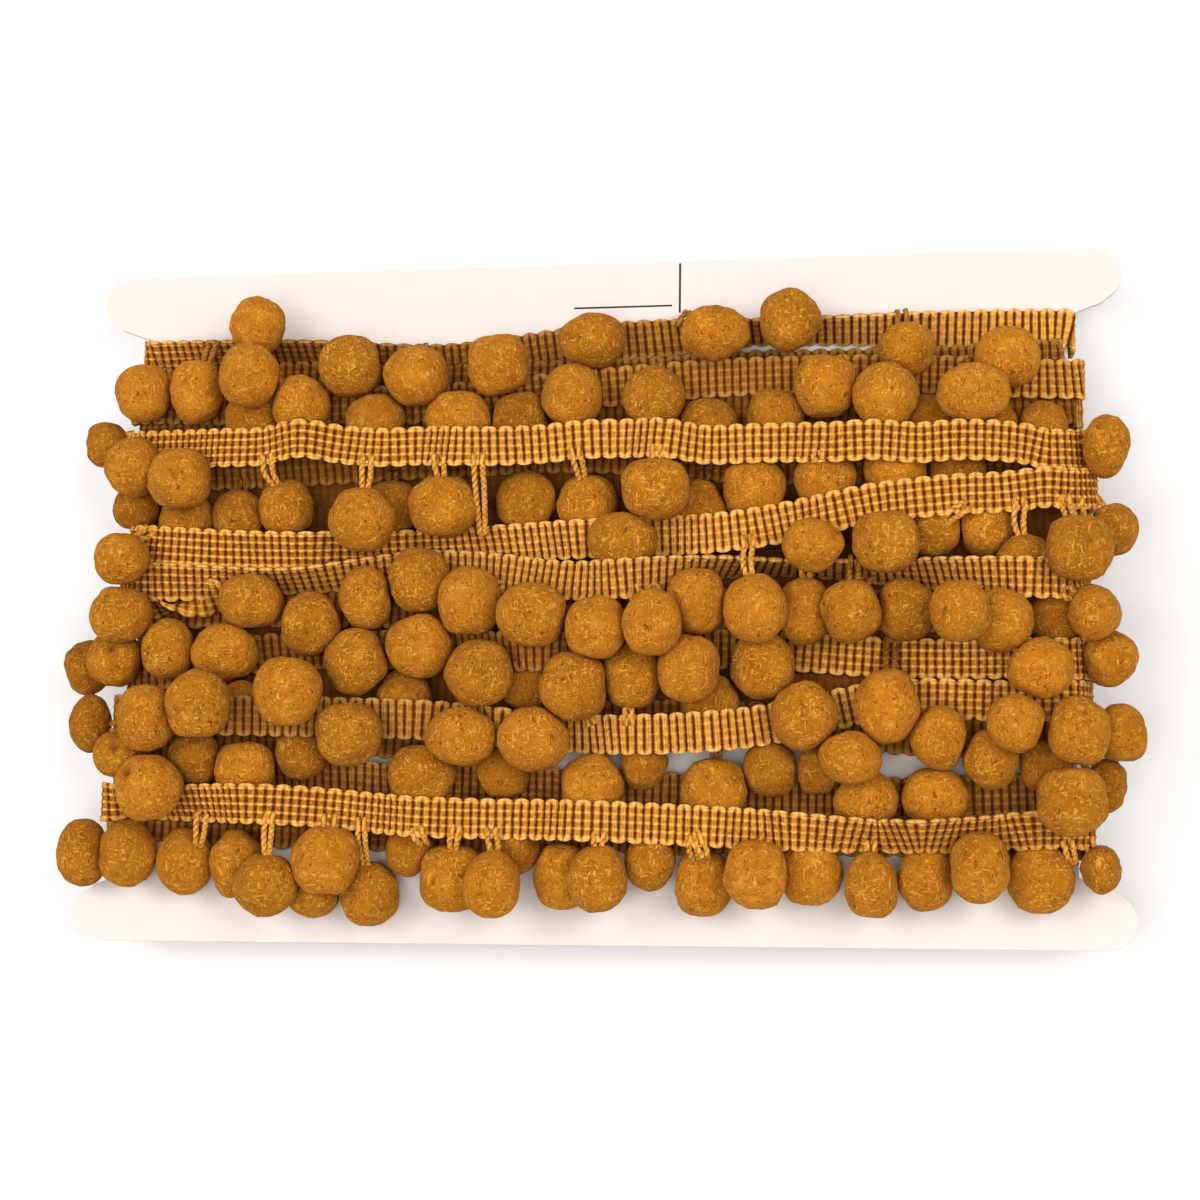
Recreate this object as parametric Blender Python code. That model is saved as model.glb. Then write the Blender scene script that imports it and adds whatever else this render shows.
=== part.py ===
"""Pompom fringe trim wound on a flat card: a braid heading with pompoms hung from it by loops.

Lengths in the tables are millimetres. X runs along the card, Y up the card, Z out of its front face.
The card lies on its back, resting on the flattened pompoms of the back, so Z = 0 is the table.
"""

import bpy
import bmesh
import numpy as np
from math import cos, pi, sin, sqrt
from mathutils import Vector

MM = 0.001

# Card
CARD_W, CARD_H, CARD_T = 229.0, 151.0, 1.5
WAIST_X, WAIST_Y = 102.8, 60.5
NECK_X, NECK_Y = 110.2, 63.2
END_R = 6.0
END_TURNS = (-60, -30, 0, 30, 60, 90)
PIECE_GAP = 0.3
FOLD_END_H = -CARD_T / 2 + PIECE_GAP / 2

# Trim
BRAID_W, BRAID_T = 8.4, 1.2
BRAID_EDGE = 0.88
LOOP_R, LOOP_SINK = 1.1, 0.6
FRONT_DEPTH, DEEP_DEPTH, SIDE_DEPTH = 5.5, 4.3, 4.6
DEEP_ORDER = 1.3
SOFT = 0.485
FLAT_AT = 0.8
POM_SIDES = 6
SPECK_FACES = 16
POM_POLARS = (0.27 * pi, 0.5 * pi, 0.74 * pi)
COARSE_POLARS = (0.32 * pi, 0.68 * pi)

# Inner turns of the winding, front and back
CORE_H = 4.6
CORE_MID_Y, CORE_HALF_Y, CORE_SLOPE = 8.5, 38.5, 4.5
CORE_STRAIGHT_X, CORE_END_X = 88.0, 103.0
CORE_SEGMENTS = 4
CORE_CLEAR = 1.2

# Clearances, and how things settle on the pile: a slip is a distance and how many ways it is tried
LOOP_REACH, LOOP_CLEAR, LOOP_SPREAD, LOOP_SEAT = 22.0, 1.3, 14.0, 1.2
GAP = 0.6
REST_GAP = 0.3
BRAID_SLOPE = 0.42
FOLD_DIP = 0.45
SIDE_CLEAR = 1.0
SLIP_COST, TIGHT_COST = 1.3, 330.0
SLIPS = ((0.0, 1), (1.0, 8), (2.0, 8), (3.0, 10))
FIRST_BRAID_H, FIRST_POM_H = 8.0, 14.0
FINE_STEP, BEAD_STEP = 3.0, 1.6
FRONT_KNOT_STEP, BACK_KNOT_STEP = 8.8, 14.0
RAISE_ROUNDS = 4
EDGE_KNOTS = (93.0, 97.0, 100.5)
END_X = EDGE_KNOTS[-1]
BACK_DEPTH = 17.2

# Height over the card at which the rows are set out, the height at which they are taken to pass
# round its edges, and the point they are set out from
READ_H, EDGE_H = 12.0, 1.0
EYE = (72.5, -86.0, 487.6)

STATION_X = (-99, -66, -33, 0, 33, 66, 99)

# name, order in the pile, braid centre y at each station, braid roll in degrees at each station
FRONT = (
    ("a", 0.7, (52.8, 53.0, 50.3, 53.5, 55.0, 54.8, 54.0), (40, 62, 35, 10, 62, 48, 5)),
    ("b", 0.5, (42.0, 41.0, 41.0, 43.4, 45.2, 45.0, 43.0), (0, 10, 15, 10, 0, 0, 0)),
    ("b2", 0.0, (37.0, 37.5, 38.0, 38.0, 37.5, 37.0, 37.5), (0, 0, 0, 0, 10, 0, 0)),
    ("c", 3.0, (31.8, 32.0, 31.3, 30.7, 30.5, 30.2, 27.6), (5, 0, 0, 0, 0, 5, 5)),
    ("c2", 0.3, (26.5, 27.2, 28.5, 29.0, 26.0, 25.0, 24.5), (10, 20, 15, 10, 0, 0, 0)),
    ("d", 3.2, (10.5, 8.6, 9.2, 10.3, 11.6, 17.6, 19.6), (0, 28, 38, 20, 5, 5, 10)),
    ("e", 3.6, (2.1, 2.0, 4.2, 1.0, 3.6, 2.2, 0.6), (10, 60, 25, 0, 75, 60, 5)),
    ("f", 0.2, (-4.3, -4.0, -5.0, -6.0, -5.0, -6.0, -8.0), (0, 0, 0, 0, 0, 0, 0)),
    ("g", 1.5, (-18.0, -13.5, -13.5, -14.0, -13.8, -16.0, -16.2), (0, 15, 20, 15, 0, 5, 5)),
    ("h", 1.6, (-27.0, -27.6, -28.6, -31.6, -30.6, -24.6, -26.0), (0, 10, 15, 20, 5, 20, 5)),
    ("h2", 0.1, (-33.0, -31.0, -33.0, -29.0, -29.0, -32.0, -33.0), (0, 0, 0, 0, 0, 0, 0)),
    ("i", 0.4, (-41.0, -40.8, -41.8, -43.2, -44.5, -45.0, -44.2), (0, 20, 20, 15, 10, 5, 5)),
    ("j", 3.1, (-46.2, -46.6, -49.2, -49.9, -51.3, -52.9, -51.3), (45, 10, 5, 0, 12, 45, 25)),
    ("k", 0.5, (-50.5, -52.0, -52.5, -52.5, -53.0, -53.0, -53.5), (0, 0, 0, 0, 0, 0, 0)),
)

# course: rows of x, y, width, height, order in the pile
POMPOMS = {
    "a": (
        (-87.7, 45, 10.5, 13.6, 2), (-74.5, 59.5, 11.4, 13.4, 1.3), (-54, 47, 13, 13.2, 2),
        (-38, 47.3, 13.6, 12.3, 2), (0, 51.5, 14.5, 11.5, 2.4),
        (27.3, 54.2, 14.5, 11, 2.4), (43.6, 57.6, 12.5, 13, 2), (68.5, 50.5, 11.5, 11, 2),
        (89.5, 48, 13.3, 12, 2),
    ),
    "b": (
        (-100, 45, 11.8, 12, 2), (-75, 47.3, 12.6, 13.4, 2.2), (-65, 41.5, 12, 11.5, 1.8),
        (-28.2, 39, 14, 11, 2), (-19, 46.5, 13, 13, 2.2), (-6.5, 42, 13, 13.4, 2),
        (14.3, 41.3, 13, 12.5, 2), (48.6, 41, 13, 13, 2), (64.6, 41, 13.4, 13.4, 2),
        (82.3, 40.5, 14.6, 11.5, 2),
    ),
    "b2": (
        (-74.6, 38.5, 12, 11, 0.8), (-47, 37.5, 12.5, 11, 0.8), (-15, 37, 12, 12, 0.8),
        (26, 35, 12, 11, 0.8), (40.5, 36.5, 12, 11, 0.8), (73, 34.5, 11, 11, 0.8),
        (85.5, 33.5, 11, 11, 0.8), (96.5, 32.5, 10.5, 11, 0.8),
    ),
    "c": (
        (-101.5, 28, 12, 12.6, 3.5), (-90.7, 25, 13, 13, 3.8), (-66.5, 18, 11.6, 12.6, 3.0),
        (-49.3, 15.2, 13.6, 13.4, 3.8), (-31.3, 17.8, 14, 13, 3.4), (0.2, 18, 12.6, 12.2, 3.1),
        (14.9, 21, 14.2, 12.8, 3.5), (51, 22.5, 12.5, 12, 2.9),
        (107, 26.7, 9, 12.6, 3.3),
    ),
    "c2": (
        (-89, 16, 11.5, 11, 1), (-77, 16.3, 11, 11.6, 1.1), (-43, 18, 12, 12, 0.9),
        (-13, 19, 13, 12.4, 1), (24, 16.5, 11.5, 11.5, 1), (34.9, 20.6, 13.4, 12.6, 2.2),
        (65.8, 24.2, 12.5, 11.5, 2), (79, 23.5, 11.5, 11.5, 1.2), (-100.8, 19.2, 10, 9.6, 1.1),
        (73.8, 11.4, 10.5, 11.5, 1.3), (82.6, 11.4, 10.5, 11.5, 1.3),
    ),
    "d": (
        (-103.2, 7.2, 11.6, 11.2, 3.8),
        (8, 9.6, 14.2, 11.8, 3.4), (35.4, -5.3, 13, 14, 3.9), (48.5, 8.2, 12, 10.5, 3.65),
        (63.8, 8.7, 13.4, 12.4, 3.65), (90, 5.5, 11.8, 11.5, 3.4), (103.7, 6.8, 13.2, 13, 3.8),
        (108.8, 11, 9.5, 10.4, 3.25),
    ),
    "e": (
        (-103.7, -4.3, 13, 12, 3.8), (-74.4, -5.3, 14, 11.2, 3.9), (-48.9, -2, 11, 13.6, 3.7),
        (-37.8, 0.5, 12.8, 13.6, 3.9), (-25.2, -3, 13, 14.2, 3.9),
        (12.6, -8.1, 11.8, 13.4, 3.9), (46, -2.3, 11.2, 13.8, 3.7), (56.4, -5.9, 11.8, 12.2, 3.9),
        (79, -6.3, 11.4, 12.2, 3.9), (106.2, -6.9, 10, 11, 3.65),
    ),
    "f": (
        (-91.8, -12.8, 10.6, 13, 2.2), (-60, -7.5, 12.5, 13.6, 2.6), (-11.3, -6, 14.4, 13.4, 3.7),
        (0.2, -10.8, 12.6, 12.6, 3.65), (24, -3.5, 11.8, 13.8, 3.8), (67.8, -5.8, 11.2, 12.6, 3.8),
        (90.4, -8.4, 12.8, 12.4, 3.8), (98.4, -7.8, 10.5, 11, 1),
    ),
    "g": (
        (-102, -14.9, 11.4, 12, 2.6), (-79.5, -14.5, 14, 12.4, 2.4), (-50, -17.6, 13.2, 14, 2.6),
        (-36.7, -12.1, 14, 13, 2.8), (-22.4, -18.7, 13.8, 14, 2.4), (-12, -21, 11, 11.5, 0.7),
        (22.3, -17.9, 12.5, 13.8, 2.6), (35.5, -19.2, 13, 13.8, 2.6), (64.8, -29, 12.8, 14.8, 2.6),
        (95.3, -18.4, 13, 11.4, 2.4), (106.4, -16.4, 10.5, 11, 2.2),
    ),
    "h": (
        (-95.8, -28, 11.7, 14, 2.2), (-85.5, -24.9, 13.4, 14, 2.6), (-64.3, -22.3, 14, 14.2, 2.6),
        (-50.6, -31.5, 13.6, 12.8, 2.5), (-26.1, -31.1, 14.4, 12, 2.6), (-10.5, -32.7, 14.4, 13, 2.5),
        (-2.1, -22.5, 13.6, 14, 2.8), (11.2, -22.2, 11.8, 13.6, 2.7), (48, -29.4, 13.4, 13.4, 2.8),
        (75.3, -32.5, 11.2, 13, 2.4), (90, -29.5, 11.4, 11.6, 2.4), (101.8, -30.8, 12, 13.6, 2.7),
        (108, -31.8, 10, 11.6, 1.8),
    ),
    "h2": (
        (-85, -36.5, 11, 11.5, 0.9), (-75, -25.5, 11, 11, 0.8), (-61, -35.5, 11, 11, 0.8),
        (-39, -23.5, 11.5, 12, 0.8), (-34.7, -39.4, 14, 13.4, 2.2),
        (3.1, -39.6, 13, 12.6, 2.2), (27, -25, 12, 11, 0.8), (28.8, -40.4, 13.4, 12.2, 2.2),
        (56.3, -36.8, 12.4, 10.5, 2.1), (84.8, -37.2, 10.4, 11.6, 2),
    ),
    "i": (
        (-101.5, -36, 10.5, 9.6, 1.9), (-73, -37, 12.8, 11, 2),
        (-17, -39.5, 10.5, 10.5, 0.9), (13, -38, 9.5, 10, 0.9), (39.5, -38, 10.5, 11, 0.9),
        (49, -38.5, 9, 10, 0.9), (58.4, -45.4, 13, 11.4, 2), (73.3, -44.7, 13.6, 11.8, 2),
        (96, -38.5, 10.5, 10.5, 0.9), (101, -45.8, 13.4, 13.6, 3.5),
    ),
    "j": (
        (-94.6, -43, 13.8, 14, 3.5), (-67.9, -63.7, 13.2, 12.8, 3.4), (-56.7, -57, 14, 14, 3.9),
        (-44.4, -62.4, 12.2, 13.5, 3.4), (-29.9, -60.2, 13.4, 14, 3.4), (-18.9, -63.5, 11.6, 13.4, 3.4),
        (3.5, -62, 12, 13.4, 3.4), (23.6, -62.8, 12, 13.4, 3.4), (36.5, -60.7, 12.6, 14, 3.4),
        (60.2, -61, 10.8, 13, 3.4), (82.3, -59.2, 11.8, 14, 3.5), (105.5, -56.6, 7.5, 9, 3.4),
    ),
    "k": (
        (-109, -57, 10, 14, 1.8), (-100.6, -57.2, 12, 14.2, 2), (-88.3, -57.2, 12, 14.2, 2),
        (-77.2, -57.5, 11, 14.2, 2), (-57.5, -66, 11, 8.5, 1.5), (-37, -56.5, 9.5, 10, 1.2),
        (-14, -56, 9.5, 10, 1.2), (-6, -61.5, 11.6, 13.8, 2), (14.5, -58.5, 10.5, 11.5, 1.5),
        (47.8, -60.7, 13, 12.5, 2), (71.2, -61.6, 11.2, 13.4, 2), (94.5, -61.5, 13.2, 13.6, 2),
    ),
}

# Pompoms beside the folds: course, side, y, width along x, size along y, height over the card's face
SIDE_POMPOMS = (
    ("c", -1, 35, 8.5, 10, 5), ("g", -1, -15.4, 9.5, 12, 3), ("h", -1, -28.4, 8.5, 12.6, 6),
    ("h2", 1, -41.5, 8, 11, 1),
)

# Back of the card: one course runs from each front course's right end to the next one's left end.
# BACK_SHARES is how far each station has moved from the fold's y to the course's own.
BACK_TOP_Y, BACK_PITCH_Y = 55.0, 9.2
BACK_POM_SIZE = 12.2
BACK_POM_PITCH, BACK_POM_START = 36.0, -92.0
BACK_POM_DROP = 9.5
BACK_SHARES = (0, 0.75, 1, 1, 1, 0.75, 0)
BACK_JITTER = 1.1
BACK_SHIFTS = (0.0, 5.0, -5.0, 10.0, -10.0)
BACK_LEAST_DEPTH = 3.0
LOOP_BEADS = 10
SEED = 7


def through(xs, ys, x):
    """Values at x of the smooth curve through the stations."""
    xs, ys, x = (np.asarray(v, float) for v in (xs, ys, x))
    slope = np.gradient(ys, xs)
    i = np.clip(np.searchsorted(xs, x) - 1, 0, len(xs) - 2)
    span = xs[i + 1] - xs[i]
    t = np.clip((x - xs[i]) / span, 0, 1)
    return (
        (2 * t**3 - 3 * t**2 + 1) * ys[i]
        + (t**3 - 2 * t**2 + t) * span * slope[i]
        + (-2 * t**3 + 3 * t**2) * ys[i + 1]
        + (t**3 - t**2) * span * slope[i + 1]
    )


def toward_eye(x, y, h):
    """Moves a point set out at READ_H along its own line to EYE, to height h."""
    k = (EYE[2] - h) / (EYE[2] - READ_H)
    return EYE[0] + (x - EYE[0]) * k, EYE[1] + (y - EYE[1]) * k


def core_top(x, y, grow=0.0):
    """Height of the inner turns over the card's face, with their outline grown by so much."""
    along = (abs(x) - grow - CORE_STRAIGHT_X) / (CORE_END_X - CORE_STRAIGHT_X)
    across = (abs(y - CORE_MID_Y) - grow - CORE_HALF_Y + CORE_SLOPE) / CORE_SLOPE
    if along >= 1 or across >= 1:
        return 0.0
    return REST_GAP + CORE_H * sqrt(1 - max(along, 0) ** 2) * sqrt(1 - max(across, 0) ** 2)


class Pile:
    """What already lies on the card, as ellipsoids: centre, semi-axes and course of each."""

    def __init__(self):
        self.centre = np.zeros((0, 3))
        self.semi = np.zeros((0, 3))
        self.course = np.zeros(0, int)

    def add(self, centres, semi, course):
        centres = np.atleast_2d(centres)
        self.centre = np.vstack([self.centre, centres])
        self.semi = np.vstack([self.semi, np.broadcast_to(semi, centres.shape)])
        self.course = np.append(self.course, [course] * len(centres))

    def lowest(self, x, y, semi):
        """Lowest free centre height at x, y for an ellipsoid that rests on everything below it."""
        floor = semi[2] + REST_GAP + core_top(x, y, CORE_CLEAR)
        reach = self.semi + semi + GAP
        r = ((x - self.centre[:, 0]) / reach[:, 0]) ** 2 + ((y - self.centre[:, 1]) / reach[:, 1]) ** 2
        near = r < 1
        if not near.any():
            return floor
        return max(floor, (self.centre[near, 2] + reach[near, 2] * np.sqrt(1 - r[near])).max())

    def nearest_beside(self, side, y, h, semi):
        """Least |x| at which an ellipsoid at y, h is free, coming in from the side."""
        reach = self.semi + semi + GAP
        r = ((y - self.centre[:, 1]) / reach[:, 1]) ** 2 + ((h - self.centre[:, 2]) / reach[:, 2]) ** 2
        near = r < 1
        outer = side * self.centre[near, 0] + reach[near, 0] * np.sqrt(1 - r[near])
        return max(outer.max(), WAIST_X + semi[0] + SIDE_CLEAR)


def braid_knots(step):
    """Where a braid may bend: close together by the card's edges, evenly spaced between."""
    inner = np.linspace(-CORE_STRAIGHT_X, CORE_STRAIGHT_X, round(2 * CORE_STRAIGHT_X / step) + 1)
    return np.concatenate([[-x for x in EDGE_KNOTS[::-1]], inner, EDGE_KNOTS])


def lay_braid(pile, y_row, roll_row, knots, follow_eye):
    """A braid drawn tight over the pile: straight between knots, no lower than anything under it."""
    y_set = through(STATION_X, y_row, knots)
    roll = np.radians(through(STATION_X, roll_row, knots))
    xs = np.arange(-END_X, END_X + 0.1, FINE_STEP)
    fine_roll = np.interp(xs, knots, roll)
    bead = np.array([BRAID_T / 2] * 3)
    half = BRAID_W / 2 * BRAID_EDGE
    h = np.full(len(knots), FIRST_BRAID_H)
    for _ in range(3 if follow_eye else 1):
        y = toward_eye(knots, y_set, h)[1] if follow_eye else y_set
        fine_y = np.interp(xs, knots, y)
        need = np.array([
            max(
                pile.lowest(x, yy + s * half * cos(r), bead) - s * half * sin(r)
                for s in (-1, -0.5, 0, 0.5, 1)
            )
            for x, yy, r in zip(xs, fine_y, fine_roll)
        ])
        h = np.interp(knots, xs, need)
        steep = BRAID_SLOPE * np.abs(knots[:, None] - knots[None, :])
        for _ in range(RAISE_ROUNDS):
            h = (h[None, :] - steep).max(axis=1)
            short = need - np.interp(xs, knots, h)
            left = np.clip(np.searchsorted(knots, xs, side="right") - 1, 0, len(knots) - 2)
            lift = np.zeros(len(knots))
            np.maximum.at(lift, left, short)
            np.maximum.at(lift, left + 1, short)
            h = h + np.maximum(lift, 0)
    return np.stack([knots, y, h, roll], 1)


def dense_path(path):
    """The path's rows with more between them, about BEAD_STEP apart."""
    rows = []
    for a, b in zip(path, path[1:]):
        count = max(1, round(np.hypot(b[0] - a[0], b[2] - a[2]) / BEAD_STEP))
        rows += [a + (b - a) * t / count for t in range(count)]
    return np.array(rows + [path[-1]])


def add_braid(pile, path, course):
    """Adds a braid to the pile as rows of beads."""
    dense = dense_path(path)
    for s in np.linspace(-1, 1, 7):
        k = s * BRAID_W / 2 * BRAID_EDGE
        across, up = k * np.cos(dense[:, 3]), k * np.sin(dense[:, 3])
        beads = np.stack([dense[:, 0], dense[:, 1] + across, dense[:, 2] + up], 1)
        pile.add(beads, [BRAID_T / 2] * 3, course)


def at_edge(y):
    """A y set out at READ_H, moved to where the trim passes round the card's edge, clear of the flange."""
    return min(toward_eye(0.0, y, EDGE_H)[1], WAIST_Y - BRAID_W / 2 - REST_GAP)


def fold_offsets(rows):
    """Each fold's y and how far it stands out from the card's edge: a later fold wraps earlier ones.

    rows are the order, the y at the left edge and the y at the right edge of each course.
    """
    offsets = {}
    for side, column in ((-1, 1), (1, 2)):
        placed = []
        for index in sorted(range(len(rows)), key=lambda k: rows[k][0]):
            y = rows[index][column]
            out = REST_GAP + BRAID_T / 2
            for other_y, other_out in placed:
                if abs(y - other_y) < BRAID_W + GAP:
                    out = max(out, other_out + BRAID_T + GAP)
            placed.append((y, out))
            offsets[index, side] = (y, out)
    return offsets


def with_folds(laid, ends):
    """A braid's whole path, from the fold round one edge of the card to the fold round the other."""
    path = laid
    for side, j in ((-1, 0), (1, -1)):
        fold_y, out = ends[side]
        x_fold = side * (WAIST_X + out)
        corner_h = max(laid[j, 2] * FOLD_DIP, out + REST_GAP)
        corner = (x_fold, (laid[j, 1] + fold_y) / 2, corner_h, 0.0)
        end = (x_fold, fold_y, FOLD_END_H, 0.0)
        path = np.vstack([end, corner, path]) if side < 0 else np.vstack([path, corner, end])
    return path


def rest_pompom(pile, x_set, y_set, semi):
    """Drops a pompom on the pile, slipping aside a little where that lets it lie lower."""
    best = None
    for slip, count in SLIPS:
        for j in range(count):
            turn = 2 * pi * j / count
            h = FIRST_POM_H
            for _ in range(4):
                x, y = toward_eye(x_set + slip * cos(turn), y_set + slip * sin(turn), h)
                h = 0.4 * h + 0.6 * pile.lowest(x, y, semi)
            h = pile.lowest(x, y, semi)
            cost = h + SLIP_COST * slip
            if best is None or cost < best[0]:
                best = (cost, x, y, h)
    return best[1:]


def settle_front():
    """The front's braid paths by course, and its pompoms as (course, centre, semi-axes, root)."""
    pile = Pile()
    folds = fold_offsets([(row[1], at_edge(row[2][0]), at_edge(row[2][-1])) for row in FRONT])
    knots = braid_knots(FRONT_KNOT_STEP)
    waiting = [(row[1], 0, k, None) for k, row in enumerate(FRONT)]
    for k, row in enumerate(FRONT):
        waiting += [(pom[4], 1, k, pom) for pom in POMPOMS[row[0]]]
    waiting.sort(key=lambda item: item[:3])
    paths, placed = {}, []
    for order, is_pompom, k, pom in waiting:
        if is_pompom:
            depth = DEEP_DEPTH if order < DEEP_ORDER else FRONT_DEPTH
            semi = np.array([pom[2] * SOFT, pom[3] * SOFT, depth])
            x, y, h = rest_pompom(pile, pom[0], pom[1], semi)
            pile.add((x, y, h), semi, k)
            placed.append((k, np.array([x, y, h]), semi))
        else:
            laid = lay_braid(pile, FRONT[k][2], FRONT[k][3], knots, True)
            paths[k] = with_folds(laid, {side: folds[k, side] for side in (-1, 1)})
            add_braid(pile, paths[k], k)
    names = [row[0] for row in FRONT]
    for name, side, y, width, height, h in SIDE_POMPOMS:
        k = names.index(name)
        semi = np.array([width * SOFT, height * SOFT, SIDE_DEPTH])
        x = side * pile.nearest_beside(side, y, h, semi)
        pile.add((x, y, h), semi, k)
        placed.append((k, np.array([x, y, h]), semi))
    pompoms = []
    for k, centre, semi in placed:
        _, root = loop_route(pile, k, paths[k], centre, semi)
        pompoms.append((k, centre, semi, root))
    return paths, pompoms


def back_rows():
    """Centre y of each back braid by station: evenly spaced, joining the front's ends at the edges."""
    rows = []
    for k in range(len(FRONT) - 1):
        left, right = at_edge(FRONT[k + 1][2][0]), at_edge(FRONT[k][2][-1])
        middle = BACK_TOP_Y - BACK_PITCH_Y * k
        ends = (left, left, left, middle, right, right, right)
        rows.append(("", k, [end + (middle - end) * share for end, share in zip(ends, BACK_SHARES)]))
    return rows


def settle_back():
    """The same for the back, where the table presses every pompom to one level."""
    rng = np.random.default_rng(SEED)
    pile = Pile()
    rows = back_rows()
    folds = fold_offsets([(k, y_row[0], y_row[-1]) for _, k, y_row in rows])
    knots = braid_knots(BACK_KNOT_STEP)
    level = [0.0] * len(STATION_X)
    paths, pompoms = {}, []
    for _, k, y_row in rows:
        laid = lay_braid(pile, y_row, level, knots, False)
        paths[k] = with_folds(laid, {side: folds[k, side] for side in (-1, 1)})
        add_braid(pile, paths[k], k)
    for _, k, y_row in rows:
        start = BACK_POM_START + (k % 2) * BACK_POM_PITCH / 2
        for x_set in np.arange(start, -BACK_POM_START + 1.0, BACK_POM_PITCH):
            jitter = rng.uniform(-BACK_JITTER, BACK_JITTER, 2)
            for shift in BACK_SHIFTS:
                x = x_set + jitter[0] + shift
                y = through(STATION_X, y_row, x) - BACK_POM_DROP + jitter[1]
                semi = np.array([BACK_POM_SIZE * SOFT, BACK_POM_SIZE * SOFT, DEEP_DEPTH])
                under = pile.lowest(x, y, semi) - semi[2]
                semi[2] = (BACK_DEPTH - under) / (1 + FLAT_AT)
                centre = np.array([x, y, under + semi[2]])
                room, root = loop_route(pile, k, paths[k], centre, semi)
                if room >= 1 and semi[2] >= BACK_LEAST_DEPTH:
                    pile.add(centre, semi, k)
                    pile.add(np.linspace(root, centre, LOOP_BEADS), [LOOP_R] * 3, k)
                    pompoms.append((k, centre, semi, root))
                    break
    return paths, pompoms


def loop_route(pile, course, path, centre, semi):
    """Room round, and root of, the straight loop to a pompom that best clears the other courses."""
    others = (pile.course != course) & (np.abs(pile.centre - centre).max(axis=1) < LOOP_REACH)
    near, reach = pile.centre[others], pile.semi[others] + LOOP_CLEAR
    steps = np.linspace(0, 1, 9)[:, None]
    dense = dense_path(path[1:-1])
    roots = dense[np.abs(dense[:, 0] - centre[0]) < LOOP_SPREAD]
    best = None
    for side in (-1, 1):
        for root_x, root_y, root_h, roll in roots:
            k = side * (BRAID_W / 2 - LOOP_SEAT)
            root = np.array([root_x, root_y + k * cos(roll), root_h + k * sin(roll)])
            away = root - centre
            length = np.linalg.norm(away)
            end = centre + away / np.linalg.norm(away / semi)
            line = root + (end - root) * steps
            room = np.inf
            if len(near):
                room = np.sqrt((((line[:, None] - near) / reach) ** 2).sum(axis=2)).min()
            cost = TIGHT_COST * max(0.0, 1.0 - room) + length
            if best is None or cost < best[0]:
                best = (cost, room, root)
    return best[1:]


def new_object(name, bm, material, collection):
    mesh = bpy.data.meshes.new(name)
    bm.normal_update()
    bmesh.ops.recalc_face_normals(bm, faces=bm.faces)
    bm.to_mesh(mesh)
    bm.free()
    mesh.materials.append(material)
    obj = bpy.data.objects.new(name, mesh)
    collection.objects.link(obj)
    return obj


def to_world(point, face):
    """A point over the front face (face 1) or the back face (face -1) of the card, in metres."""
    z = BACK_DEPTH + CARD_T + point[2] if face > 0 else max(BACK_DEPTH - point[2], 0.0)
    return Vector((point[0], point[1], z)) * MM


def braid_mesh(points, face):
    """A flat strip along the path, four corners a station.

    Both broad faces are split along the same diagonal, so a twisted strip keeps its thickness.
    """
    bm = bmesh.new()
    rings = []
    for i, (x, y, h, roll) in enumerate(points):
        ahead = points[min(i + 1, len(points) - 1)]
        behind = points[max(i - 1, 0)]
        along = Vector((ahead[0] - behind[0], 0, ahead[2] - behind[2])).normalized()
        across = Vector((0, cos(roll), sin(roll)))
        out = along.cross(across).normalized()
        centre = Vector((x, y, h))
        ring = []
        for s, t in ((-1, -1), (1, -1), (1, 1), (-1, 1)):
            corner = centre + across * (s * BRAID_W / 2) + out * (t * BRAID_T / 2)
            ring.append(bm.verts.new(to_world(corner, face)))
        rings.append(ring)
    for a, b in zip(rings, rings[1:]):
        for i in range(4):
            j = (i + 1) % 4
            if i < 2:
                bm.faces.new((a[i], a[j], b[j]))
                bm.faces.new((a[i], b[j], b[i]))
            else:
                bm.faces.new((a[i], a[j], b[i]))
                bm.faces.new((a[j], b[j], b[i]))
    bm.faces.new(rings[0])
    bm.faces.new(rings[-1][::-1])
    return bm


def pompom_mesh(root, centre, semi, face, polars):
    """A three-sided loop from its root in the braid, opening into a coarse ball.

    The ball's rings run round the line from the root. On the back it is pressed flat on the table.
    """
    centre = Vector(centre)
    toward = (Vector(root) - centre).normalized()
    across = toward.cross(Vector((0, 0, 1))).normalized()
    over = across.cross(toward)
    size = Vector(semi)

    def on_ball(polar, turn):
        """The ball's surface in one direction from its centre."""
        d = toward * cos(polar) + (across * cos(turn) + over * sin(turn)) * sin(polar)
        point = d / Vector((d.x / size.x, d.y / size.y, d.z / size.z)).length
        if face < 0:
            point.z = min(point.z, FLAT_AT * size.z)
        return centre + point

    bm = bmesh.new()

    def vert(point):
        return bm.verts.new(to_world(point, face))

    strand = []
    for end in (Vector(root), on_ball(0.0, 0.0) - toward * LOOP_SINK):
        turns = [k * 2 * pi / 3 for k in range(3)]
        strand.append([vert(end + (across * cos(t) + over * sin(t)) * LOOP_R) for t in turns])
    turns = [k * pi / 3 for k in range(POM_SIDES)]
    rings = [[vert(on_ball(polar, t)) for t in turns] for polar in polars]
    pole = vert(on_ball(pi, 0.0))
    bm.faces.new(strand[0][::-1])
    for k in range(3):
        j = (k + 1) % 3
        bm.faces.new((strand[0][k], strand[0][j], strand[1][j], strand[1][k]))
        a, b, c = rings[0][2 * k], rings[0][2 * k + 1], rings[0][(2 * k + 2) % POM_SIDES]
        bm.faces.new((strand[1][k], b, a))
        bm.faces.new((strand[1][k], strand[1][j], b))
        bm.faces.new((strand[1][j], c, b))
    for near, far in zip(rings, rings[1:]):
        for k in range(POM_SIDES):
            j = (k + 1) % POM_SIDES
            bm.faces.new((near[k], near[j], far[j], far[k]))
    for k in range(POM_SIDES):
        bm.faces.new((rings[-1][k], rings[-1][(k + 1) % POM_SIDES], pole))
    return bm


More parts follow.
